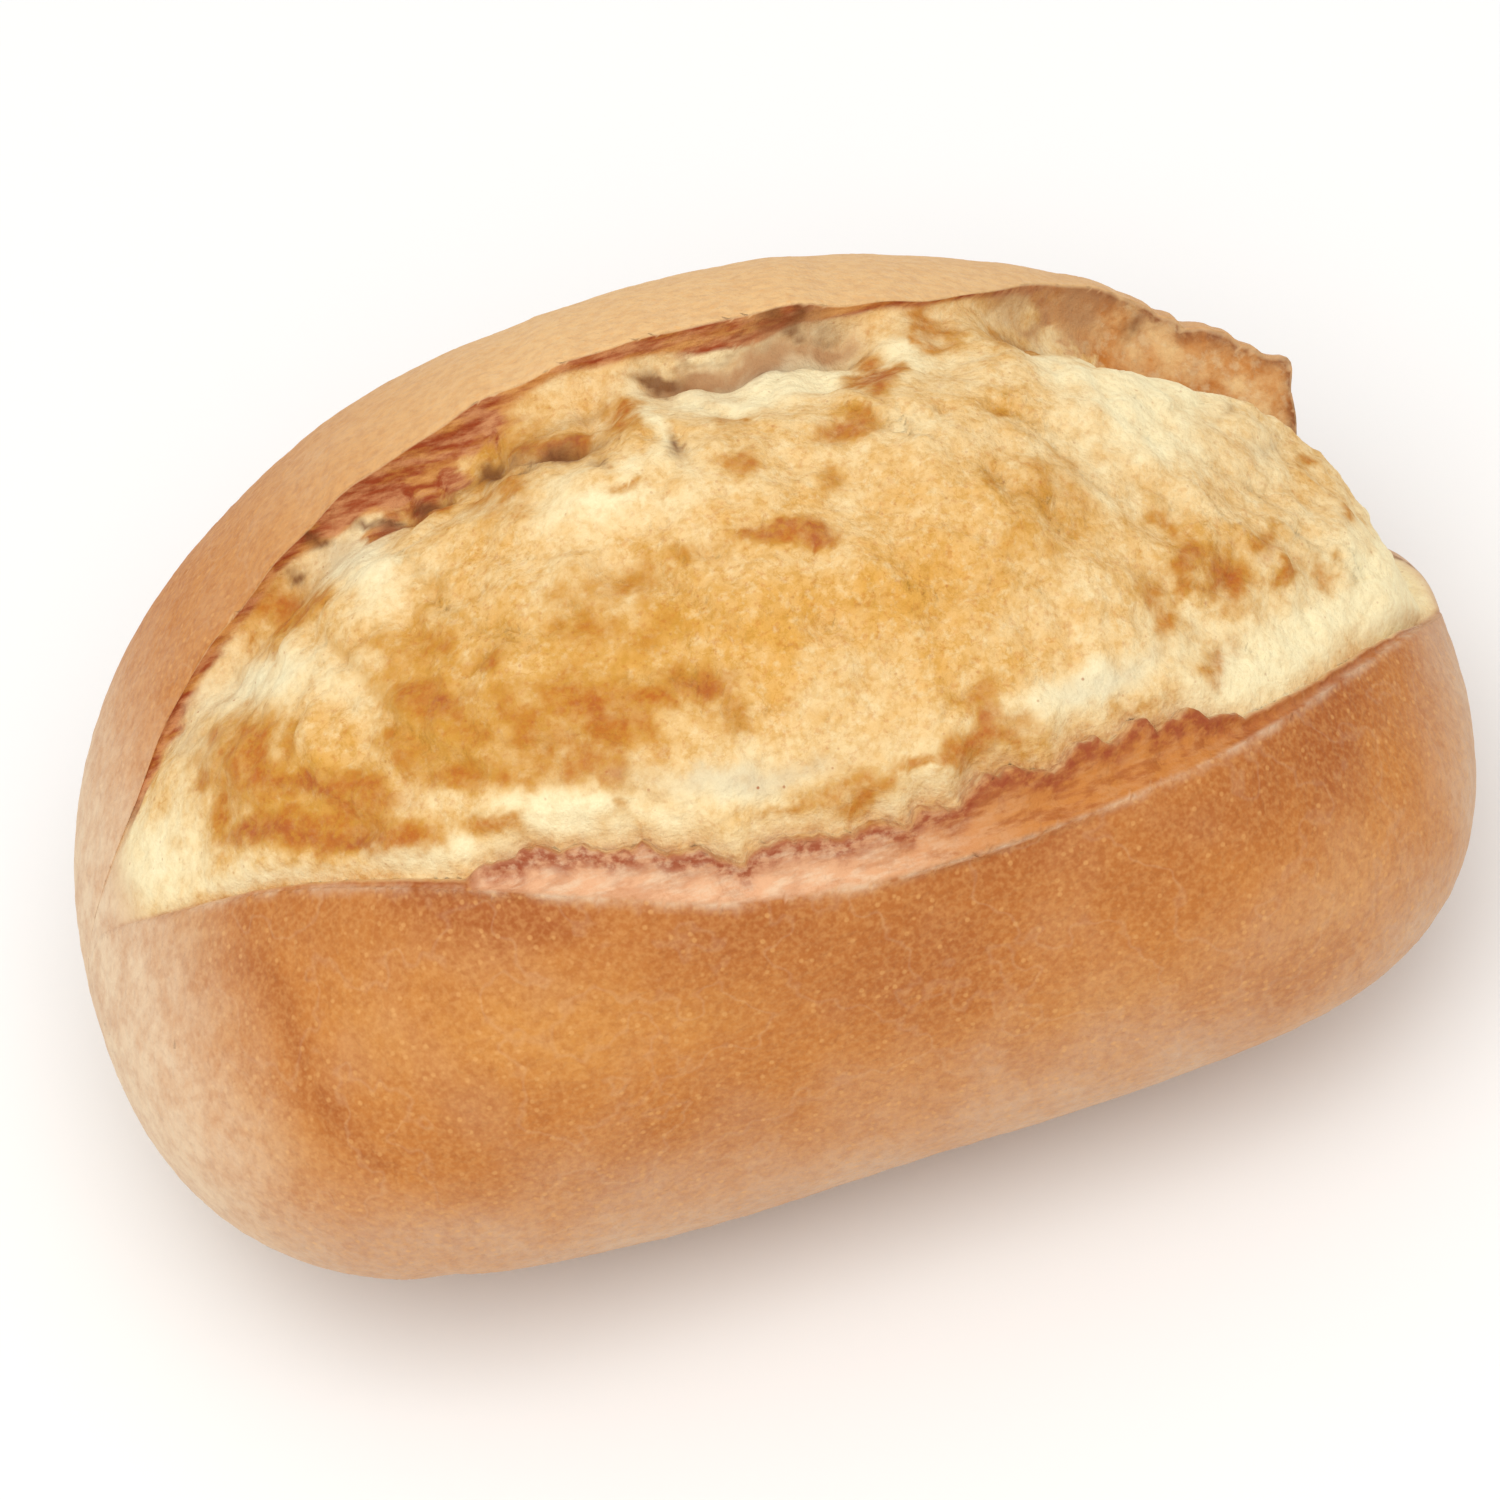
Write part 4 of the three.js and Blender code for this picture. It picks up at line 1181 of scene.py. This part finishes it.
def add_camera(scene):
    """The camera at the photograph's angle."""
    azimuth = math.radians(CAMERA_AZIMUTH)
    height = math.radians(CAMERA_HEIGHT)
    roll = math.radians(CAMERA_ROLL)
    back = Vector((
        math.sin(azimuth) * math.cos(height),
        -math.cos(azimuth) * math.cos(height),
        math.sin(height),
    ))
    level = Vector((math.cos(azimuth), math.sin(azimuth), 0))
    rise = back.cross(level)
    right = level * math.cos(roll) - rise * math.sin(roll)
    up = level * math.sin(roll) + rise * math.cos(roll)
    place = Vector(LOOK_AT) * MM + back * CAMERA_AWAY * MM
    bpy.ops.object.camera_add()
    camera = bpy.context.active_object
    camera.name = "camera"
    camera.matrix_world = Matrix((
        (right.x, up.x, back.x, place.x),
        (right.y, up.y, back.y, place.y),
        (right.z, up.z, back.z, place.z),
        (0, 0, 0, 1),
    ))
    camera.data.sensor_width = SENSOR
    camera.data.lens = CAMERA_LENS
    camera.data.shift_x, camera.data.shift_y = CAMERA_SHIFT
    camera.data.clip_start = 0.01
    scene.camera = camera


class BREAD_OT_roll(bpy.types.Operator):
    """Make the bread roll in place of the frame's plain one"""

    bl_idname = "bread.roll"
    bl_label = "Bread Roll"

    def execute(self, context):
        make_roll(context.scene)
        return {"FINISHED"}


class BREAD_OT_stage(bpy.types.Operator):
    """Make the floor, the lights and the camera"""

    bl_idname = "bread.stage"
    bl_label = "Stage"

    def execute(self, context):
        settings = context.scene.bread_stage
        add_floor(settings)
        add_sky(settings.sky)
        add_lamp(settings.lamp)
        add_camera(context.scene)
        context.scene.view_settings.view_transform = "Standard"
        return {"FINISHED"}


class BREAD_PT_panel(bpy.types.Panel):
    """Lists what the bread roll is made with"""

    bl_label = "Bread Roll"
    bl_idname = "BREAD_PT_panel"
    bl_space_type = "VIEW_3D"
    bl_region_type = "UI"
    bl_category = "Bread Roll"

    def draw(self, context):
        scene = context.scene
        for group in (scene.roll_shape, scene.roll_colours, scene.bread_stage):
            box = self.layout.box()
            for key in group.__annotations__:
                box.prop(group, key)
        self.layout.operator(BREAD_OT_roll.bl_idname)
        self.layout.operator(BREAD_OT_stage.bl_idname)


CLASSES = (RollShape, RollColours, StageSettings, BREAD_OT_roll, BREAD_OT_stage, BREAD_PT_panel)


def register():
    for cls in CLASSES:
        bpy.utils.register_class(cls)
    bpy.types.Scene.roll_shape = PointerProperty(type=RollShape)
    bpy.types.Scene.roll_colours = PointerProperty(type=RollColours)
    bpy.types.Scene.bread_stage = PointerProperty(type=StageSettings)


def unregister():
    for name in ("roll_shape", "roll_colours", "bread_stage"):
        delattr(bpy.types.Scene, name)
    for cls in reversed(CLASSES):
        bpy.utils.unregister_class(cls)


def main():
    register()
    bpy.ops.bread.stage()
    bpy.ops.bread.roll()


if __name__ == "__main__":
    main()
